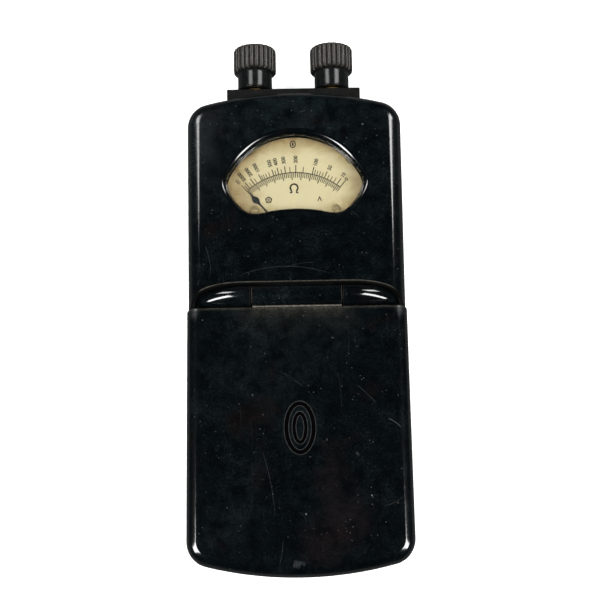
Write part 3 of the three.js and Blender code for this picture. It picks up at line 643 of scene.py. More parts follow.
m_knob = knob_material()
m_ebonite = plain("ebonite_grey", (0.0014, 0.0018, 0.0018), (0.0046, 0.0044, 0.0038), 0.55, 0.8, 0.08)
m_brass = metal("brass_tarnished", (0.42, 0.28, 0.11), (0.20, 0.12, 0.045), (0.35, 0.6), 0.9, 0.5)
m_brass_clean = metal("brass_inside", (0.62, 0.45, 0.19), (0.40, 0.27, 0.10), (0.25, 0.42), 0.8, 0.4, 3)
m_rust = plain("screw_head_aged", (0.46, 0.38, 0.20), (0.22, 0.15, 0.065), 0.45, 1.3, 0.5, 0.2, 0.35)
m_steel = metal("steel_dull", (0.42, 0.42, 0.42), (0.20, 0.19, 0.17), (0.30, 0.5), 0.8, 0.4, 7)
m_magnet = plain("magnet_lacquer", (0.020, 0.021, 0.024), (0.035, 0.033, 0.033), 0.42, 0.5, 0.5)
m_iron = metal("soft_iron", (0.25, 0.25, 0.26), (0.13, 0.12, 0.11), (0.4, 0.6), 0.8, 0.4, 9)
m_copper = metal("coil_copper", (0.55, 0.22, 0.10), (0.30, 0.10, 0.05), (0.35, 0.5), 1.6, 0.5, 11)
m_pertinax = plain("pertinax", (0.16, 0.075, 0.028), (0.10, 0.045, 0.018), 0.45, 0.35, 0.45)
m_pointer = plain("pointer_black", (0.004, 0.004, 0.005), (0.008, 0.0075, 0.007), 0.5, 1.5, 0.4)
m_ink = plain("dial_ink", (0.010, 0.009, 0.008), (0.022, 0.019, 0.015), 0.8, 1.2, 0.05, 0.0)
m_lead_r = plain("lead_cotton_red", (0.20, 0.025, 0.02), (0.13, 0.02, 0.015), 0.85, 2.5, 0.2, 0.5)
m_lead_b = plain("lead_cotton_black", (0.02, 0.02, 0.02), (0.035, 0.033, 0.03), 0.85, 2.5, 0.2, 0.5)
m_pitch = plain("battery_pitch", (0.010, 0.009, 0.009), (0.02, 0.018, 0.016), 0.35, 0.3, 0.5, 0.4)


def dial_material():
    s = Mat("dial_cream")
    c = s.vec("SUBTRACT", s.flat(), (0, 41.0 + Y0, 0))
    c = s.vec("MULTIPLY", c, (1 / 25.0, 1 / 16.5, 0))
    d = s.vec("LENGTH", c, out=1)
    stain = s.noise(0.13, 5.0, 0.6, dist=0.7)
    fine = s.noise(1.4, 5.0, 0.65)
    edge = s.math("ADD", d, s.math("MULTIPLY", s.math("SUBTRACT", stain, 0.5), 0.7))
    x, y, z = s.xyz()
    edge = s.math("SUBTRACT", edge, s.math("MULTIPLY", x, 0.0025))
    base = s.mix(s.ramp(edge, 0.46, 0.96), (0.625, 0.545, 0.345), (0.40, 0.29, 0.135))
    # painted shade: a dark band round the rim of the dial, where the window lip overhangs it
    base = s.mix(s.ramp(edge, 0.80, 1.06), base, (0.19, 0.125, 0.055))
    # painted shade: darker patch at the right end of the dial, under the lip
    dr = s.vec("DISTANCE", s.flat(), (24.5, 38.0 + Y0, 0), out=1)
    base = s.mix(s.math("MULTIPLY", s.ramp(dr, 12.0, 2.0), s.ramp(stain, 0.30, 0.6, 0.35, 0.7)), base, (0.30, 0.22, 0.11))
    dd = s.vec("DISTANCE", s.flat(), (-14.5, 33.5 + Y0, 0), out=1)
    base = s.mix(s.math("MULTIPLY", s.ramp(dd, 9.5, 1.0), s.ramp(stain, 0.35, 0.6, 0.15, 0.6)), base, (0.30, 0.20, 0.095))
    base = s.mix(s.ramp(fine, 0.58, 0.80, 0, 0.25), base, (0.42, 0.34, 0.21))
    base = s.mix(s.ramp(s.voronoi(0.7), 0.08, 0.03, 0.0, 0.4), base, (0.30, 0.22, 0.12))
    return s.set(Base_Color=base, Roughness=0.72, Specular_IOR_Level=0.25, Normal=s.bump(fine, 0.06, 0.00003))


m_dial = dial_material()


def glass_material():
    s = Mat("glass_clear")
    smear = s.noise(0.35, 4.0, 0.6, dist=0.8)
    s.set(Base_Color=(0.97, 0.98, 0.96), Roughness=s.ramp(smear, 0.35, 0.75, 0.02, 0.10), IOR=1.46, Transmission_Weight=1.0)
    return s.m


m_glass = glass_material()


def card_material():
    s = Mat("battery_card")
    x, y, z = s.xyz()
    n = s.noise(0.18, 6.0, 0.6)
    f = s.noise(2.5, 4.0, 0.7)
    base = s.mix(s.ramp(n, 0.3, 0.7), (0.30, 0.185, 0.085), (0.22, 0.13, 0.06))
    band = s.math("MULTIPLY", s.ramp(y, -28.0 + Y0, -27.6 + Y0), s.ramp(y, -22.0 + Y0, -22.4 + Y0))
    base = s.mix(s.math("MULTIPLY", band, 0.8), base, (0.10, 0.025, 0.02))
    base = s.mix(s.ramp(f, 0.60, 0.8, 0, 0.4), base, (0.12, 0.07, 0.035))
    return s.set(Base_Color=base, Roughness=0.62, Specular_IOR_Level=0.3, Normal=s.bump(f, 0.25, 0.00006))


m_card = card_material()


# ------------------------------------------------------------------ case
def case_shell():
    rings = []
    for i in range(7):
        a = i / 6 * math.pi / 2
        rings.append(ring_at(case_outline(2 * (1 - math.sin(a))), 2 * (1 - math.cos(a))))
    for z in (10, 17.4, 24):
        rings.append(ring_at(case_outline(0), z))
    for i in range(17):
        a = i / 16 * math.pi / 2
        rings.append(ring_at(case_outline(4.5 * (1 - math.cos(a))), 27.5 + 4.5 * math.sin(a)))
    ob = loft("case_shell", rings, [m_case, m_dusty, m_lip, m_knuckle, m_inside])

    # room for the lid
    rim = []
    for k, (z, d) in enumerate(((17.35, -0.35), (17.5, -0.15), (17.7, 0.0), (60, 0.0))):
        rim.append([(-60, -110, z), (60, -110, z), (60, -1.65 + d * 0, z), (-60, -1.65 + d * 0, z)])
    boolean(ob, loft("c_lid", rim[2:], m_case, smooth=0))

    # swept groove round both case knuckles, flared at the front face
    for s in (1, -1):
        rings = []
        for z, off in ((26.4, 0.42), (31.35, 0.42), (31.65, 0.46), (31.85, 0.56), (31.97, 0.72), (32.02, 0.90), (36, 0.90)):
            pts = knuckle_plan(off, 12.0)
            if s < 0:
                pts = [(-p[0], p[1]) for p in reversed(pts)]
            rings.append(ring_at(pts, z))
        boolean(ob, loft("c_groove", rings, m_groove, smooth=0))

    # room for the lid's knuckle
    sp = 14.75
    boolean(ob, turned("c_round", "x", (HY, HZ), [(0, -sp), (3.95, -sp), (3.95, sp), (0, sp)], 96, m_groove))
    boolean(ob, block("c_mid", (-sp, sp), (-10, HY), (25.45, 60), 0, m_groove))
    prof = [(28.8, 0.42), (31.35, 0.42), (31.65, 0.46), (31.85, 0.56), (31.97, 0.72), (32.02, 0.90), (36, 0.90)]
    rings = [[(-sp, HY - 1, z), (sp, HY - 1, z), (sp, 5.55 + o, z), (-sp, 5.55 + o, z)] for z, o in prof]
    boolean(ob, loft("c_mid2", rings, m_groove, smooth=0))

    # knuckles: a rolled shoulder that sweeps down to the case side
    for s in (1, -1):
        rings = []
        xs = [14.70, 14.74, 14.82, 15.0] + [15.5 + i * 0.6 for i in range(19)] + [26.7 + i * 0.4 for i in range(13)] + [31.85, 32.15, 32.45, 32.7, 32.9, 33.1, 33.25, 33.36]
        for k, x in enumerate(xs):
            yt = 5.55 if x <= 16 else -1.65 + 7.2 * max(0.0, 1 - ((x - 16) / 17.4) ** 2.4) ** (1 / 2.4)
            yb = -1.65
            u = max(0.0, min(1.0, (x - 16.5) / 16.9))
            zt = 33.0 - 8.6 * (1 - math.sqrt(max(0.0, 1 - u ** 2.1)))
            e = (0.16, 0.08, 0.02, 0.0)[k] if k < 4 else 0.0          # eased edge at the slit
            w = max((yt - yb) / 2, 0.02)
            h = 3.65 * min(1.0, (w / 3.6) ** 0.75)
            yc, zc = (yt + yb) / 2, zt - h
            ring = [(x, yb + e, 23.6), (x, yb + e, min(zc, 27.0) * 0.5 + 11.8)]
            for i in range(33):
                a = math.pi - i / 32 * math.pi
                c, si = math.cos(a), math.sin(a)
                yr = yc + 0.62 * min(1.0, w / 3.6)
                half = (yt - yr if c > 0 else yr - yb) - e
                ring.append((x, yr + half * c, zc + (h - e) * si))
            ring += [(x, yt - e, min(zc, 27.0) * 0.5 + 11.8), (x, yt - e, 23.6)]
            rings.append([(s * p[0], p[1], p[2]) for p in ring])
        kn = loft("c_knuckle", rings, [m_knuckle, m_slit])
        for fc in kn.data.polygons:
            if abs(fc.center.x) < 0.01495:
                fc.material_index = 1
        boolean(ob, kn, "UNION")

    # pin bore, blind at both ends
    boolean(ob, turned("c_pin", "x", (HY, HZ), [(0, -27.6), (1.45, -27.6), (1.45, 27.6), (0, 27.6)], 32, m_inside))

    # meter housing and battery tray
    def clip(pts, lo=None, hi=None):
        out, n = [], len(pts)
        for i in range(n):
            a, b = pts[i], pts[(i + 1) % n]
            ina = (lo is None or a[1] >= lo) and (hi is None or a[1] <= hi)
            inb = (lo is None or b[1] >= lo) and (hi is None or b[1] <= hi)
            if ina:
                out.append(a)
            if ina != inb:
                y = lo if lo is not None else hi
                t = (y - a[1]) / (b[1] - a[1])
                out.append((a[0] + (b[0] - a[0]) * t, y))
        return out
    inner = case_outline(3.0)
    up = clip(inner, lo=9.0)
    boolean(ob, loft("c_house", [ring_at(up, -3), ring_at(up, 29.4)], m_inside, smooth=0))
    dn = clip(inner, hi=5.6)
    boolean(ob, loft("c_tray", [ring_at(dn, 3.0), ring_at(dn, 20.5)], m_inside, smooth=0))
    for x, y in ((-28.6, 13.2), (28.6, 13.2), (-28.6, 56), (28.6, 56)):
        boolean(ob, turned("c_boss", "z", (x, y), [(0, 2.7), (3.2, 2.7), (3.2, 29.9), (0, 29.9)], 32, m_inside), "UNION")
        boolean(ob, turned("c_hole", "z", (x, y), [(0, 0), (1.6, 0), (1.6, 14.5), (0, 14.5)], 24, m_inside))
    for x in (-23.5, 23.5):
        boolean(ob, turned("c_wire", "y", (x, 8), [(0, 4), (1.6, 4), (1.6, 10), (0, 10)], 24, m_inside))

    # window: rounded lip running down to the glass
    rings = [ring_at(window_loop(-0.16), 36), ring_at(window_loop(-0.16), 32.02), ring_at(window_loop(-0.07), 31.99)]
    for i in range(1, 15):
        a = i / 14 * math.pi / 2
        rings.append(ring_at(window_loop(math.sin(a), 0.35 * math.sin(a)), 32 - 2.1 * (1 - math.cos(a)) - 0.01))
    rings.append(ring_at(window_loop(1.0, 0.35), 29.62))
    for i in range(0, 8):
        a = i / 7 * math.pi / 2
        rings.append(ring_at(window_loop(1.0, 0.30 - 0.32 * math.sin(a)), 29.56 - 0.45 * (1 - math.cos(a))))
    rings.append(ring_at(window_loop(1.0, -0.02), 27.0))
    boolean(ob, loft("c_window", rings, m_lip))

    # slot for the terminal strip and its screws
    boolean(ob, block("c_strip", (-22.65, 22.65), (60, 80), (7.7, 24.3), 0, m_inside))
    for x in (-24.6, 24.6):
        boolean(ob, turned("c_ss", "y", (x, 16), [(0, 62), (0.95, 62), (0.95, 67.2), (0, 67.2)], 20, m_inside))
    shade(ob, 33)
    weighted(ob)
    ob.name = "case_shell"
    return ob


def lid_shell():
    rings = [ring_at(lid_outline(0.25, 0.25), 18.0), ring_at(lid_outline(0.07, 0.07), 18.08), ring_at(lid_outline(0), 18.3), ring_at(lid_outline(0), 24)]
    R = 3.6
    for i in range(17):
        a = i / 16 * math.pi / 2
        z = 32 - R + R * math.sin(a)
        b = max(0.0, min(1.0, (z - 31.4) / 0.6))
        e = 0.6 * (1 - math.sqrt(max(0.0, 1 - b * b)))
        rings.append(ring_at(lid_outline(R * (1 - math.cos(a)), e), z))
    ob = loft("lid_shell", rings, [m_lid, m_dusty, m_knuckle, m_inside])
    # hollow, open towards the tray
    hol = []
    for z, ins in ((10, 2.6), (27.6, 2.6), (28.6, 2.9), (29.15, 3.5), (29.4, 4.4)):
        pts = lid_outline(ins, -8 if z < 28 else -8, rc=1.0)
        hol.append(ring_at(pts, z))
    boolean(ob, loft("c_hollow", hol, m_inside, smooth=0))
    # middle knuckle: roll, web and the dusty valley between roll and lid
    w = 14.38
    prof = [(0, -w), (3.45, -w), (3.56, -w + 0.04), (3.6, -w + 0.14), (3.6, w - 0.14), (3.56, w - 0.04), (3.45, w), (0, w)]
    boolean(ob, block("c_web", (-w + 0.2, w - 0.2), (-4.6, HY - 1.4), (26.2, 30.7), 0, m_web), "UNION")
    roll = turned("c_roll", "x", (HY, HZ), prof, 96, m_knuckle)
    roll.data.materials.append(m_groove)
    for fc in roll.data.polygons:
        if abs(fc.center.x) > (w - 0.12) / 1000:
            fc.material_index = 1
    boolean(ob, roll, "UNION")
    boolean(ob, turned("c_pin", "x", (HY, HZ), [(0, -w - 1), (1.45, -w - 1), (1.45, w + 1), (0, w + 1)], 32, m_inside))
    boolean(ob, block("c_ledge", (-4, 4), (-83.5, -82.5), (20.6, 21.8), 0.0, m_inside), "UNION")

    # engraved sign: plain oval ring round a small lozenge
    cx, cy = 0.3, -40.5

    def groove(path, width, depth, closed=True):
        """V-bottomed trough along a closed path."""
        n = len(path)
        rings = []
        for i in range(n):
            t = (Vector(path[(i + 1) % n]) - Vector(path[i - 1])).normalized()
            nrm = Vector((-t.y, t.x))
            p = Vector(path[i])
            ring = []
            for o, z in ((-width / 2 - 0.16, 32.3), (-width / 2 - 0.16, 32.0), (-width / 2 + 0.06, 31.90), (-width * 0.30, 32 - depth), (width * 0.30, 32 - depth),
                         (width / 2 - 0.06, 31.90), (width / 2 + 0.16, 32.0), (width / 2 + 0.16, 32.3)):
                q = p + nrm * o
                ring.append((q.x, q.y, z))
            rings.append(ring)
        verts = [v for r in rings for v in r]
        k = len(rings[0])
        faces = []
        for i in range(n):
            for j in range(k):
                a, b = i * k + j, i * k + (j + 1) % k
                c, d = ((i + 1) % n) * k + (j + 1) % k, ((i + 1) % n) * k + j
                faces.append((a, b, c, d))
        ob2 = mesh_obj("c_groove2", verts, faces, m_engrave, 0)
        ob2.data.materials.append(m_halo)
        for q, fc in enumerate(ob2.data.polygons):
            if q % k in (1, 5):
                fc.material_index = 1
        return ob2
    oval = [(cx + 4.25 * math.cos(t) * 1.0, cy + 7.6 * math.sin(t)) for t in (2 * math.pi * i / 72 for i in range(72))]
    boolean(ob, groove(oval, 1.35, 0.55))
    loz = []
    for i in range(56):
        t = 2 * math.pi * i / 56
        c, si = math.cos(t), math.sin(t)
        loz.append((cx + 1.85 * c, cy + 4.5 * si))
    boolean(ob, groove(loz, 1.15, 0.5))
    shade(ob, 33)
    weighted(ob)
    ob.name = "lid_shell"
    return ob


# painted shade: the engraved trough is near black with almost no specular, so the recess reads darker than the face
m_engrave = plain("bakelite_engraved", (0.0002, 0.0002, 0.0003), (0.0005, 0.0005, 0.0005), 0.6, 1.5, 0.01)
m_halo = plain("bakelite_engraved_rim", (0.024, 0.026, 0.025), (0.008, 0.009, 0.009), 0.6, 1.1, 0.1)

case = case_shell()
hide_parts("case_body")
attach(case, "case")
lid = lid_shell()
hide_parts("battery_lid")
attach(lid, "lid")


# ------------------------------------------------------------------ window glass and dial
def plate(name, loops_z, mat):
    return weighted(loft(name, [ring_at(p, z) for p, z in loops_z], mat))


glass = plate("pane", [(window_loop(1, 2.75), 27.9), (window_loop(1, 2.9), 28.02), (window_loop(1, 2.9), 28.98), (window_loop(1, 2.75), 29.1)], m_glass)
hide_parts("window_glass")
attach(glass, "case")

dial = plate("dial_face", [(window_loop(1, 2.4), 25.8), (window_loop(1, 2.4), 26.5), (window_loop(1, 2.3), 26.6)], m_dial)
for x in (-13.4, 13.4):
    boolean(dial, turned("c_d", "z", (x, 31.2), [(0, 25), (1.1, 25), (1.1, 28), (0, 28)], 24, m_dial))
shade(dial, 33)
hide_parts("dial_plate")
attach(dial, "case")

PRINT_Z = (26.601, 26.622)


def quad_bar(a, b, w, verts, faces):
    """A printed stroke: thin raised bar from a to b."""
    d = Vector((b[0] - a[0], b[1] - a[1])).normalized()
    n = Vector((-d.y, d.x)) * (w / 2)
    base = len(verts)
    for z in PRINT_Z:
        for p, s in ((a, 1), (b, 1), (b, -1), (a, -1)):
            verts.append((p[0] + n.x * s, p[1] + n.y * s, z))
    for f in ((0, 1, 2, 3), (7, 6, 5, 4), (0, 4, 5, 1), (1, 5, 6, 2), (2, 6, 7, 3), (3, 7, 4, 0)):
        faces.append(tuple(base + k for k in f))


def polar(r, deg):
    a = math.radians(deg)
    return (PIV[0] + r * math.sin(a), PIV[1] + r * math.cos(a))


def scale_print():
    verts, faces = [], []
    R0 = 23.55
    A, B = -40.9, 39.3
    # the arc
    n = 90
    inner = [polar(R0 - 0.14, A + (B - A) * i / n) for i in range(n + 1)]
    outer = [polar(R0 + 0.14, A + (B - A) * i / n) for i in range(n + 1)]
    base = len(verts)
    for z in PRINT_Z:
        verts += [(p[0], p[1], z) for p in inner]
        verts += [(p[0], p[1], z) for p in outer]
    m = n + 1
    for i in range(n):
        lo, hi = base, base + 2 * m
        faces.append((lo + i, lo + i + 1, lo + m + i + 1, lo + m + i))
        faces.append((hi + i, hi + m + i, hi + m + i + 1, hi + i + 1))
        faces.append((lo + i, hi + i, hi + i + 1, lo + i + 1))
        faces.append((lo + m + i, lo + m + i + 1, hi + m + i + 1, hi + m + i))
    faces.append((base, base + m, base + 3 * m, base + 2 * m))
    faces.append((base + n, base + 2 * m + n, base + 3 * m + n, base + m + n))
    # even inner scale
    for i in range(53):
        deg = A + 1.54 * i
        if deg > B:
            break
        ln = 2.5 if i % 5 == 0 else 1.75
        quad_bar(polar(R0 - 0.05, deg), polar(R0 - ln, deg), 0.30 if i % 5 == 0 else 0.25, verts, faces)
    # uneven resistance scale outside the arc

    def spot(ohm):
        return -42.3 + 81.3 * 226 / (226 + ohm)
    major = {-41.2: "\u221e", spot(5000): "5000", spot(2000): "2000", spot(1000): "1000", spot(500): "500", spot(400): "400", spot(300): "300",
             spot(200): "200", spot(100): "100", spot(50): "50", spot(10): "10", spot(0): "0"}
    for ohm, ln in ((0, 2.9), (10, 2.6), (20, 1.9), (30, 1.7), (40, 1.7), (50, 2.5), (60, 1.7), (70, 1.7), (80, 1.7), (90, 1.8), (100, 2.6), (150, 2.0), (200, 2.6), (250, 2.0), (300, 2.5), (350, 1.6),
                    (400, 2.4), (450, 1.6), (500, 2.3), (600, 1.7), (700, 1.7), (800, 1.7), (900, 1.7), (1000, 2.5), (1500, 1.9), (2000, 2.6), (3000, 1.7), (5000, 2.6), (10000, 1.9)):
        quad_bar(polar(R0 + 0.05, spot(ohm)), polar(R0 + ln, spot(ohm)), 0.29 if ln > 2.2 else 0.24, verts, faces)
    ob = mesh_obj("dial_ticks", verts, faces, m_ink, 0)
    return ob, major


def text_obj(body, size, at, rot, mat, depth=0.02, bold=0.0):
    cu = bpy.data.curves.new("txt", "FONT")
    cu.body = body
    cu.size = size / 1000.0
    cu.align_x, cu.align_y = "CENTER", "CENTER"
    cu.extrude = depth / 2000.0
    cu.offset = bold / 1000.0
    cu.resolution_u = 6
    ob = bpy.data.objects.new("txt", cu)
    bpy.context.collection.objects.link(ob)
    p = P(at[0], at[1], PRINT_Z[0] + depth / 2)
    ob.matrix_world = Matrix.Translation(p) @ Matrix.Rotation(math.radians(rot), 4, "Z")
    bpy.context.view_layer.update()
    dep = bpy.context.evaluated_depsgraph_get()
    me = bpy.data.meshes.new_from_object(ob.evaluated_get(dep))
    me.transform(ob.matrix_world)
    new = bpy.data.objects.new("txt_mesh", me)
    bpy.context.collection.objects.link(new)
    me.materials.clear()
    me.materials.append(mat)
    bpy.data.objects.remove(ob, do_unlink=True)
    bm = bmesh.new()
    bm.from_mesh(me)
    bmesh.ops.remove_doubles(bm, verts=bm.verts, dist=1e-7)
    bm.to_mesh(me)
    bm.free()
    return new


ticks, major = scale_print()
parts = [ticks]
for deg, label in major.items():
    if label == "\u221e":
        v, f = [], []
        for off in (-0.44, 0.44):                        # the infinity sign as two small rings, one outside the other
            c = polar(27.9 + off, deg - 1.0)
            for i in range(14):
                a, b = 2 * math.pi * i / 14, 2 * math.pi * (i + 1) / 14
                quad_bar((c[0] + 0.42 * math.cos(a), c[1] + 0.42 * math.sin(a)), (c[0] + 0.42 * math.cos(b), c[1] + 0.42 * math.sin(b)), 0.2, v, f)
        parts.append(mesh_obj("endless", v, f, m_ink, 0))
        continue
    r = {4: 28.35, 3: 28.05, 2: 27.5, 1: 27.0}[len(label)] - (0.25 if label == "100" else 0.0)
    parts.append(text_obj(label, 1.72, polar(r, deg + {"100": 0.7, "50": 0.7, "5000": 0.9, "2000": 1.7, "1000": 0.8}.get(label, 0.0)), 90 - deg, m_ink, bold=0.045))


def omega(cx, cy, w, h):
    """Ohm sign: three-quarter ring on two feet."""
    verts, faces = [], []
    pts = []
    for i in range(25):
        a = math.radians(-52 + i / 24 * 284)
        pts.append((cx + w * 0.45 * math.cos(a), cy + 0.10 * h + h * 0.42 * math.sin(a)))
    for i in range(24):
        quad_bar(pts[i], pts[i + 1], 0.56, verts, faces)
    quad_bar((pts[0][0] - 0.1, cy - h * 0.42), (cx + w * 0.5, cy - h * 0.42), 0.46, verts, faces)
    quad_bar((cx - w * 0.5, cy - h * 0.42), (pts[-1][0] + 0.1, cy - h * 0.42), 0.46, verts, faces)
    quad_bar(pts[0], (pts[0][0] - 0.05, cy - h * 0.42), 0.34, verts, faces)
    quad_bar(pts[-1], (pts[-1][0] + 0.05, cy - h * 0.42), 0.34, verts, faces)
    return mesh_obj("omega", verts, faces, m_ink, 0)


parts.append(omega(-0.3, 38.3, 2.75, 3.1))
# small plain figure on the right, small pentagon mark on the left, small ring high on the dial
parts.append(text_obj("V", 2.3, (8.0, 34.9), 180, m_ink, bold=0.04))
v, f = [], []
for i in range(5):
    a, b = math.radians(90 + 72 * i), math.radians(90 + 72 * (i + 1))
    quad_bar((-8.7 + 1.08 * math.cos(a), 34.6 + 1.08 * math.sin(a)), (-8.7 + 1.08 * math.cos(b), 34.6 + 1.08 * math.sin(b)), 0.28, v, f)
    quad_bar((-8.7, 34.6), (-8.7 + 1.08 * math.cos(a), 34.6 + 1.08 * math.sin(a)), 0.15, v, f)
for i in range(24):
    a, b = math.radians(15 * i), math.radians(15 * (i + 1))
    quad_bar((-0.5 + 0.85 * math.cos(a), 53.6 + 1.15 * math.sin(a)), (-0.5 + 0.85 * math.cos(b), 53.6 + 1.15 * math.sin(b)), 0.36, v, f)
quad_bar((-0.5, 54.2), (-0.5, 53.0), 0.5, v, f)
parts.append(mesh_obj("marks", v, f, m_ink, 0))
ink = join("dial_print", parts)
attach(ink, "case")

for side, x in (("left", -13.4), ("right", 13.4)):
    s = turned("dial_screw_head_" + side, "z", (x, 31.2), [(0, 22.2), (0.8, 22.2), (0.8, 26.75), (1.35, 26.80), (1.45, 26.95), (1.45, 27.2), (1.3, 27.42), (0.9, 27.56), (0, 27.6)], 40, m_rust)
    boolean(s, block("c_sl", (x - 2, x + 2), (31.2 - 0.17, 31.2 + 0.17), (27.15, 28), 0, m_rust))
    shade(s, 33)
    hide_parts("dial_screw_" + side)
    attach(s, "case")


# pointer: knife-edged blade with its lozenge, hub ring and tail
def pointer_piece():
    rot = math.radians(42.3)

    def tr(x, y, z):
        return (PIV[0] + x * math.cos(rot) - y * math.sin(rot), PIV[1] + x * math.sin(rot) + y * math.cos(rot), z)
    prof = [(-7.8, 0.35), (-1.2, 0.38), (0, 1.0), (1.8, 0.5), (6, 0.28), (16.9, 0.22), (17.7, 0.42), (18.5, 0.95), (19.2, 1.08), (19.9, 0.88), (20.8, 0.30), (21.4, 0.16), (26.0, 0.11)]
    rings = []
    for y, w in prof:
        rings.append([tr(-w, y, 27.22), tr(-w * 0.4, y, 27.12), tr(w * 0.4, y, 27.12), tr(w, y, 27.22), tr(w * 0.5, y, 27.38), tr(-w * 0.5, y, 27.38)])
    blade = loft("blade", rings, m_pointer, smooth=50)
    hub = turned("hub", "z", PIV, [(0.9, 27.1), (1.8, 27.1), (1.85, 27.2), (1.85, 27.3), (1.75, 27.4), (0.9, 27.4)], 40, m_pointer)
    boolean(blade, turned("c_h", "z", PIV, [(0, 26), (0.9, 26), (0.9, 28), (0, 28)], 32, m_pointer))
    return join("pointer_blade", [blade, hub])


ptr = pointer_piece()
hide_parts("pointer")
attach(ptr, "movement")


# ------------------------------------------------------------------ terminals
def fluted_knob(name, x):
    """Smooth collar, short cone and a head with rounded flutes."""
    nf, per = 24, 10
    prof = [(76.45, 5.2, 0), (76.47, 5.45, 0), (76.58, 5.72, 0), (76.78, 5.83, 0), (77.0, 5.85, 0), (77.4, 5.85, 0), (79.4, 5.85, 0), (81.9, 5.85, 0), (82.15, 5.85, 0), (82.25, 5.88, 0),
            (82.4, 6.05, 0), (82.6, 6.45, 0.1), (82.85, 6.90, 0.5), (83.05, 7.18, 0.8), (83.3, 7.24, 1.0), (83.6, 7.3, 1.0), (84.5, 7.3, 1.0), (88, 7.3, 1.0), (90.2, 7.3, 1.0),
            (90.65, 7.26, 1.0), (91.0, 7.2, 0.85), (91.25, 6.9, 0.5), (91.40, 6.45, 0.2), (91.45, 5.9, 0)]
    rings = []
    for y, r, f in prof:
        ring = []
        for i in range(nf * per):
            a = 2 * math.pi * i / (nf * per)
            t = (i % per) / per
            crest = math.sqrt(max(0.0, 1 - (2 * abs(t - 0.5) / 1.04) ** 2.0))          # round rib between sharp valleys
            rr = r - f * 0.92 * (1 - crest)
            ring.append((x + rr * math.cos(a), y, 16 + rr * math.sin(a)))
        rings.append(ring)
    rings.append([(x + 5.2 * math.cos(2 * math.pi * i / (nf * per)), 91.3, 16 + 5.2 * math.sin(2 * math.pi * i / (nf * per))) for i in range(nf * per)])
    ob = loft(name, rings, m_knob, smooth=40)
    boolean(ob, turned("c_k", "y", (x, 16), [(0, 75), (2.7, 75), (2.7, 88.6), (0, 88.6)], 48, m_knob))
    shade(ob, 40)
    return ob


for side, s in (("left", -1), ("right", 1)):
    x = s * 13.15
    k = fluted_knob("fluted_knob_" + side, x)
    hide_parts("terminal_knob_" + side)
    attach(k, "knob_" + side)
    w = turned("washer_" + side, "y", (x, 16), [(2.7, 74.7), (4.1, 74.7), (4.25, 74.76), (4.3, 74.9), (4.3, 75.9), (4.22, 76.1), (4.0, 76.2), (2.7, 76.2)], 96, m_brass)
    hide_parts("clamp_washer_" + side)
    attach(w, "washer_" + side)
    st = turned("stud_" + side, "y", (x, 16), [(0, 56.4), (2.2, 56.4), (2.4, 56.6)] + [(r, 57 + i * 0.4) for i in range(70) for r in ((2.12,) if i % 2 else (2.4,))] + [(2.2, 85.9), (0, 86.2)], 32, m_brass_clean)
    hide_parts("terminal_stud_" + side)
    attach(st, "case")

strip = block("strip_body", (-22.35, 22.35), (63.2, 74.4), (8, 24), 0.25, m_ebonite)
boolean(strip, block("strip_flange", (-25.8, 25.8), (61.2, 63.3), (6, 26), 0.2, m_ebonite), "UNION")
for x in (-13.15, 13.15):
    boolean(strip, turned("c_s", "y", (x, 16), [(0, 60), (2.7, 60), (2.7, 80), (0, 80)], 40, m_ebonite))
for x in (-24.6, 24.6):
    boolean(strip, turned("c_s", "y", (x, 16), [(0, 60), (1.1, 60), (1.1, 64), (0, 64)], 24, m_ebonite))
shade(strip, 33)
weighted(strip)
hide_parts("terminal_strip")
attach(strip, "case")


# ------------------------------------------------------------------ back cover and screws
def back():
    pts = [p for p in case_outline(3.3) if p[1] > 9.3]
    right = [p for p in pts if p[0] > 0]
    def close(ins):
        o = case_outline(3.3 + ins)
        k = 34.8 - 3.3 - ins
        lo = 9.3 + ins
        up = [p for p in o if p[1] > lo + 1]
        # order: right side up, over the end, left side down
        start = max(range(len(up)), key=lambda i: (up[i][0] > 0, -up[i][1]))
        up = sorted(up, key=lambda p: math.atan2(p[1] - 35, p[0]) if p[1] > 9 else 0)
        r = 0.6
        ends = []
        for i in range(5):
            a = math.pi + i / 4 * math.pi / 2
            ends.append((-(k - r) + r * math.cos(a), lo + r + r * math.sin(a)))
        for i in range(5):
            a = 1.5 * math.pi + i / 4 * math.pi / 2
            ends.append((k - r + r * math.cos(a), lo + r + r * math.sin(a)))
        allp = up + ends
        allp.sort(key=lambda p: math.atan2(p[1] - 35, p[0]))
        return allp
    rings = [ring_at(close(0.35), 0.0), ring_at(close(0.1), 0.1), ring_at(close(0.0), 0.35), ring_at(close(0.0), 2.4)]
    ob = loft("cover_plate", rings, m_back)
    for x, y in ((-28.6, 13.2), (28.6, 13.2), (-28.6, 56), (28.6, 56)):
        boolean(ob, turned("c_b", "z", (x, y), [(0, -1), (3.1, -1), (3.1, 0.0), (2.9, 0.2), (2.9, 1.55), (1.7, 1.56), (1.7, 4), (0, 4)], 40, m_back))
    shade(ob, 33)
    weighted(ob)
    return ob


m_back = bakelite("bakelite_back", 9.0, 1.1, ((( -20, 20), (12, 34), 0.12, 0.4, 1.0), ((5, 50), (22, 44), 0.14, 0.4, 0.4)), rough=(0.28, 0.5))
cover = back()
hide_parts("back_cover")
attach(cover, "case")
for nm, (x, y) in zip(("lower_left", "lower_right", "upper_left", "upper_right"), ((-28.6, 13.2), (28.6, 13.2), (-28.6, 56), (28.6, 56))):
    s = turned("screw_" + nm, "z", (x, y), [(0, 0.35), (2.0, 0.38), (2.45, 0.5), (2.6, 0.7), (2.6, 1.25), (1.3, 1.3), (1.3, 13.3), (0, 13.5)], 40, m_steel)
    ang = rnd.uniform(0, math.pi)
    c = block("c_slot", (x - 3, x + 3), (y - 0.3, y + 0.3), (-1, 0.85), 0, m_steel)
    c.data.transform(Matrix.Translation(P(x, y, 0)) @ Matrix.Rotation(ang, 4, "Z") @ Matrix.Translation(-P(x, y, 0)))
    boolean(s, c)
    shade(s, 33)
    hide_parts("cover_screw_" + nm)
    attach(s, "case")


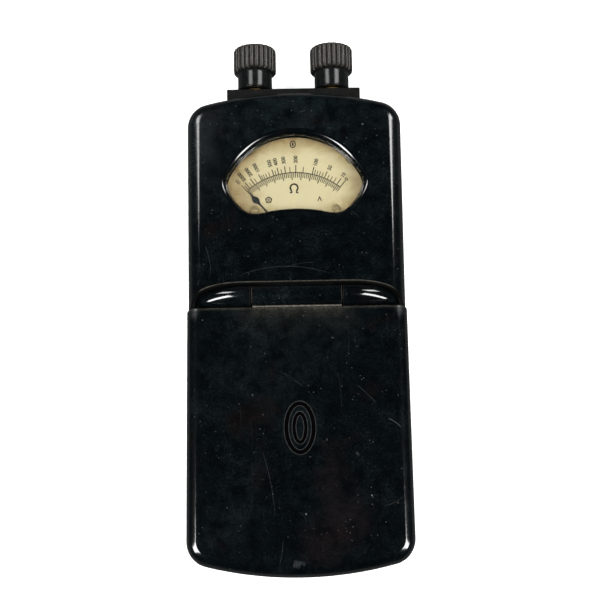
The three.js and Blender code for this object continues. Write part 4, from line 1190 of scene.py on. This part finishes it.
# ------------------------------------------------------------------ battery
def rounded_rect(hx, y0, y1, r, ins, n=8):
    out = []
    rr = max(r - ins, 0.4)
    for cx, cy, a0 in ((hx - r, y1 - r, 0), (-hx + r, y1 - r, 90), (-hx + r, y0 + r, 180), (hx - r, y0 + r, 270)):
        for i in range(n + 1):
            a = math.radians(a0 + 90 * i / n)
            out.append((cx + rr * math.cos(a), cy + rr * math.sin(a)))
    return out


def battery():
    rings = []
    for z, ins in ((3.3, 0.8), (3.42, 0.3), (3.8, 0.05), (4.2, 0), (14, 0), (24.0, 0), (24.5, 0.08), (24.8, 0.35), (24.9, 0.8)):
        rings.append(ring_at(rounded_rect(30.7, -78.6, -13.2, 3.5, ins), z))
    card = loft("card", rings, m_card)
    rings = []
    for z, ins in ((4.6, 0.7), (4.8, 0.3), (23.4, 0.3), (23.6, 0.7)):
        rings.append(ring_at(rounded_rect(30.1, -16.0, -12.05, 2.0, ins), z))
    pitch = loft("pitch", rings, m_pitch)
    return join("flat_battery", [card, pitch])


bat = battery()
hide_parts("battery")
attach(bat, "case")

# ------------------------------------------------------------------ CAD pieces that keep their shape
for node, mat in {
        "hinge_pin": m_steel, "glass_retainer": m_brass_clean, "dial_post_left": m_brass_clean, "dial_post_right": m_brass_clean,
        "counterweight": m_brass_clean, "staff_upper": m_steel, "staff_lower": m_steel, "moving_coil": m_copper, "soft_iron_core": m_iron,
        "core_bracket": m_brass_clean, "magnet": m_magnet, "pole_shoe_left": m_iron, "pole_shoe_right": m_iron,
        "upper_bridge": m_brass_clean, "lower_bridge": m_brass_clean, "upper_bridge_post_left": m_brass_clean, "upper_bridge_post_right": m_brass_clean,
        "lower_bridge_post_left": m_brass_clean, "lower_bridge_post_right": m_brass_clean, "jewel_screw_upper": m_brass_clean, "jewel_screw_lower": m_brass_clean,
        "hairspring_upper": m_brass_clean, "hairspring_lower": m_brass_clean, "terminal_nut_left": m_brass_clean, "terminal_nut_right": m_brass_clean,
        "strip_screw_left": m_steel, "strip_screw_right": m_steel, "battery_tongue_left": m_brass, "battery_tongue_right": m_brass,
        "contact_spring_left": m_brass, "contact_spring_right": m_brass, "contact_block": m_pertinax, "lid_catch_spring": m_steel,
        "series_resistor": m_pertinax, "shunt_resistor": m_pertinax, "lead_battery_left": m_lead_b, "lead_terminal_left": m_lead_b,
        "lead_battery_right": m_lead_r, "lead_terminal_right": m_lead_r}.items():
    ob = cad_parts[node]
    ob.data.materials.clear()
    ob.data.materials.append(mat)

# ------------------------------------------------------------------ floor, light, camera
me = bpy.data.meshes.new("floor")
me.from_pydata([(-3, -3, 0), (3, -3, 0), (3, 3, 0), (-3, 3, 0)], [], [(0, 1, 2, 3)])
floor = bpy.data.objects.new("floor", me)
bpy.context.collection.objects.link(floor)
fm = bpy.data.materials.new("floor_white")
fm.use_nodes = True
ft = fm.node_tree
fb = ft.nodes["Principled BSDF"]
fb.inputs["Base Color"].default_value = (0.09, 0.09, 0.09, 1)
fb.inputs["Roughness"].default_value = 0.9
fb.inputs["Specular IOR Level"].default_value = 0.0
fp = ft.nodes.new("ShaderNodeBsdfPrincipled")          # what the camera sees: pale paper
fp.inputs["Base Color"].default_value = (0.86, 0.86, 0.855, 1)
fp.inputs["Roughness"].default_value = 0.9
fp.inputs["Specular IOR Level"].default_value = 0.0
fp.inputs["Emission Color"].default_value = (1, 1, 1, 1)
fp.inputs["Emission Strength"].default_value = 0.45
fl, fx = ft.nodes.new("ShaderNodeLightPath"), ft.nodes.new("ShaderNodeMixShader")
ft.links.new(fl.outputs["Is Camera Ray"], fx.inputs[0])
ft.links.new(fb.outputs[0], fx.inputs[1])
ft.links.new(fp.outputs[0], fx.inputs[2])
ft.links.new(fx.outputs[0], ft.nodes["Material Output"].inputs["Surface"])
me.materials.append(fm)

world = bpy.data.worlds.new("studio")
bpy.context.scene.world = world
world.use_nodes = True
nt = world.node_tree
bg = nt.nodes["Background"]
bg.inputs["Color"].default_value = (0.60, 0.63, 0.66, 1)
bg.inputs["Strength"].default_value = 1.0
bg2 = nt.nodes.new("ShaderNodeBackground")
bg2.inputs["Color"].default_value = (1, 1, 1, 1)
bg2.inputs["Strength"].default_value = 0.95
tc = nt.nodes.new("ShaderNodeTexCoord")
sp = nt.nodes.new("ShaderNodeSeparateXYZ")
nt.links.new(tc.outputs["Generated"], sp.inputs[0])
cr = nt.nodes.new("ShaderNodeValToRGB")
cr.color_ramp.elements[0].position, cr.color_ramp.elements[0].color = 0.0, (0.055, 0.057, 0.06, 1)
cr.color_ramp.elements[1].position, cr.color_ramp.elements[1].color = 0.42, (0.012, 0.013, 0.014, 1)
nt.links.new(sp.outputs["Z"], cr.inputs[0])
nt.links.new(cr.outputs[0], bg.inputs["Color"])
lp = nt.nodes.new("ShaderNodeLightPath")
mx = nt.nodes.new("ShaderNodeMixShader")
nt.links.new(lp.outputs["Is Camera Ray"], mx.inputs[0])
nt.links.new(bg.outputs[0], mx.inputs[1])
nt.links.new(bg2.outputs[0], mx.inputs[2])
nt.links.new(mx.outputs[0], nt.nodes["World Output"].inputs["Surface"])


def softbox(name, at, size, power, aim=(0, 0, 0.02), colour=(1, 1, 1)):
    L = bpy.data.lights.new(name, "AREA")
    L.shape = "RECTANGLE"
    L.size, L.size_y = size
    L.energy = power
    L.color = colour
    ob = bpy.data.objects.new(name, L)
    bpy.context.collection.objects.link(ob)
    ob.location = at
    d = Vector(aim) - Vector(at)
    ob.rotation_euler = d.to_track_quat("-Z", "Y").to_euler()
    return ob


softbox("box_left_low", (-0.42, -0.22, 0.60), (0.16, 0.50), 5.6)
softbox("box_right_low", (0.42, -0.22, 0.60), (0.16, 0.50), 4.8)
softbox("box_left_high", (-0.34, 0.37, 0.60), (0.17, 0.34), 2.1)
softbox("box_right_high", (0.40, 0.36, 0.60), (0.18, 0.36), 2.7)
fill = softbox("fill_soft", (0.0, -0.10, 0.85), (0.5, 0.5), 2.1)          # lights the recessed dial, never mirrored
fill.visible_glossy = False

cam_data = bpy.data.cameras.new("camera")
cam = bpy.data.objects.new("camera", cam_data)
bpy.context.collection.objects.link(cam)
cam_data.lens, cam_data.sensor_width = 72.0, 36.0
cam_data.clip_start, cam_data.clip_end = 0.01, 20
th, ro = math.radians(11.5), math.radians(1.0)
D = 1.2 / 3.147
fwd = Vector((0, math.sin(th), -math.cos(th)))
U, R = Vector((0, math.cos(th), math.sin(th))), Vector((1, 0, 0))
up, right = U * math.cos(ro) + R * math.sin(ro), R * math.cos(ro) - U * math.sin(ro)
target = P(1.0, 0.0, FZ)
loc = target - fwd * D
cam.matrix_world = Matrix(((right.x, up.x, -fwd.x, loc.x), (right.y, up.y, -fwd.y, loc.y), (right.z, up.z, -fwd.z, loc.z), (0, 0, 0, 1)))
sc = bpy.context.scene
sc.camera = cam
sc.view_settings.view_transform = "Standard"
sc.view_settings.look = "None"
sc.view_settings.exposure = 0.0
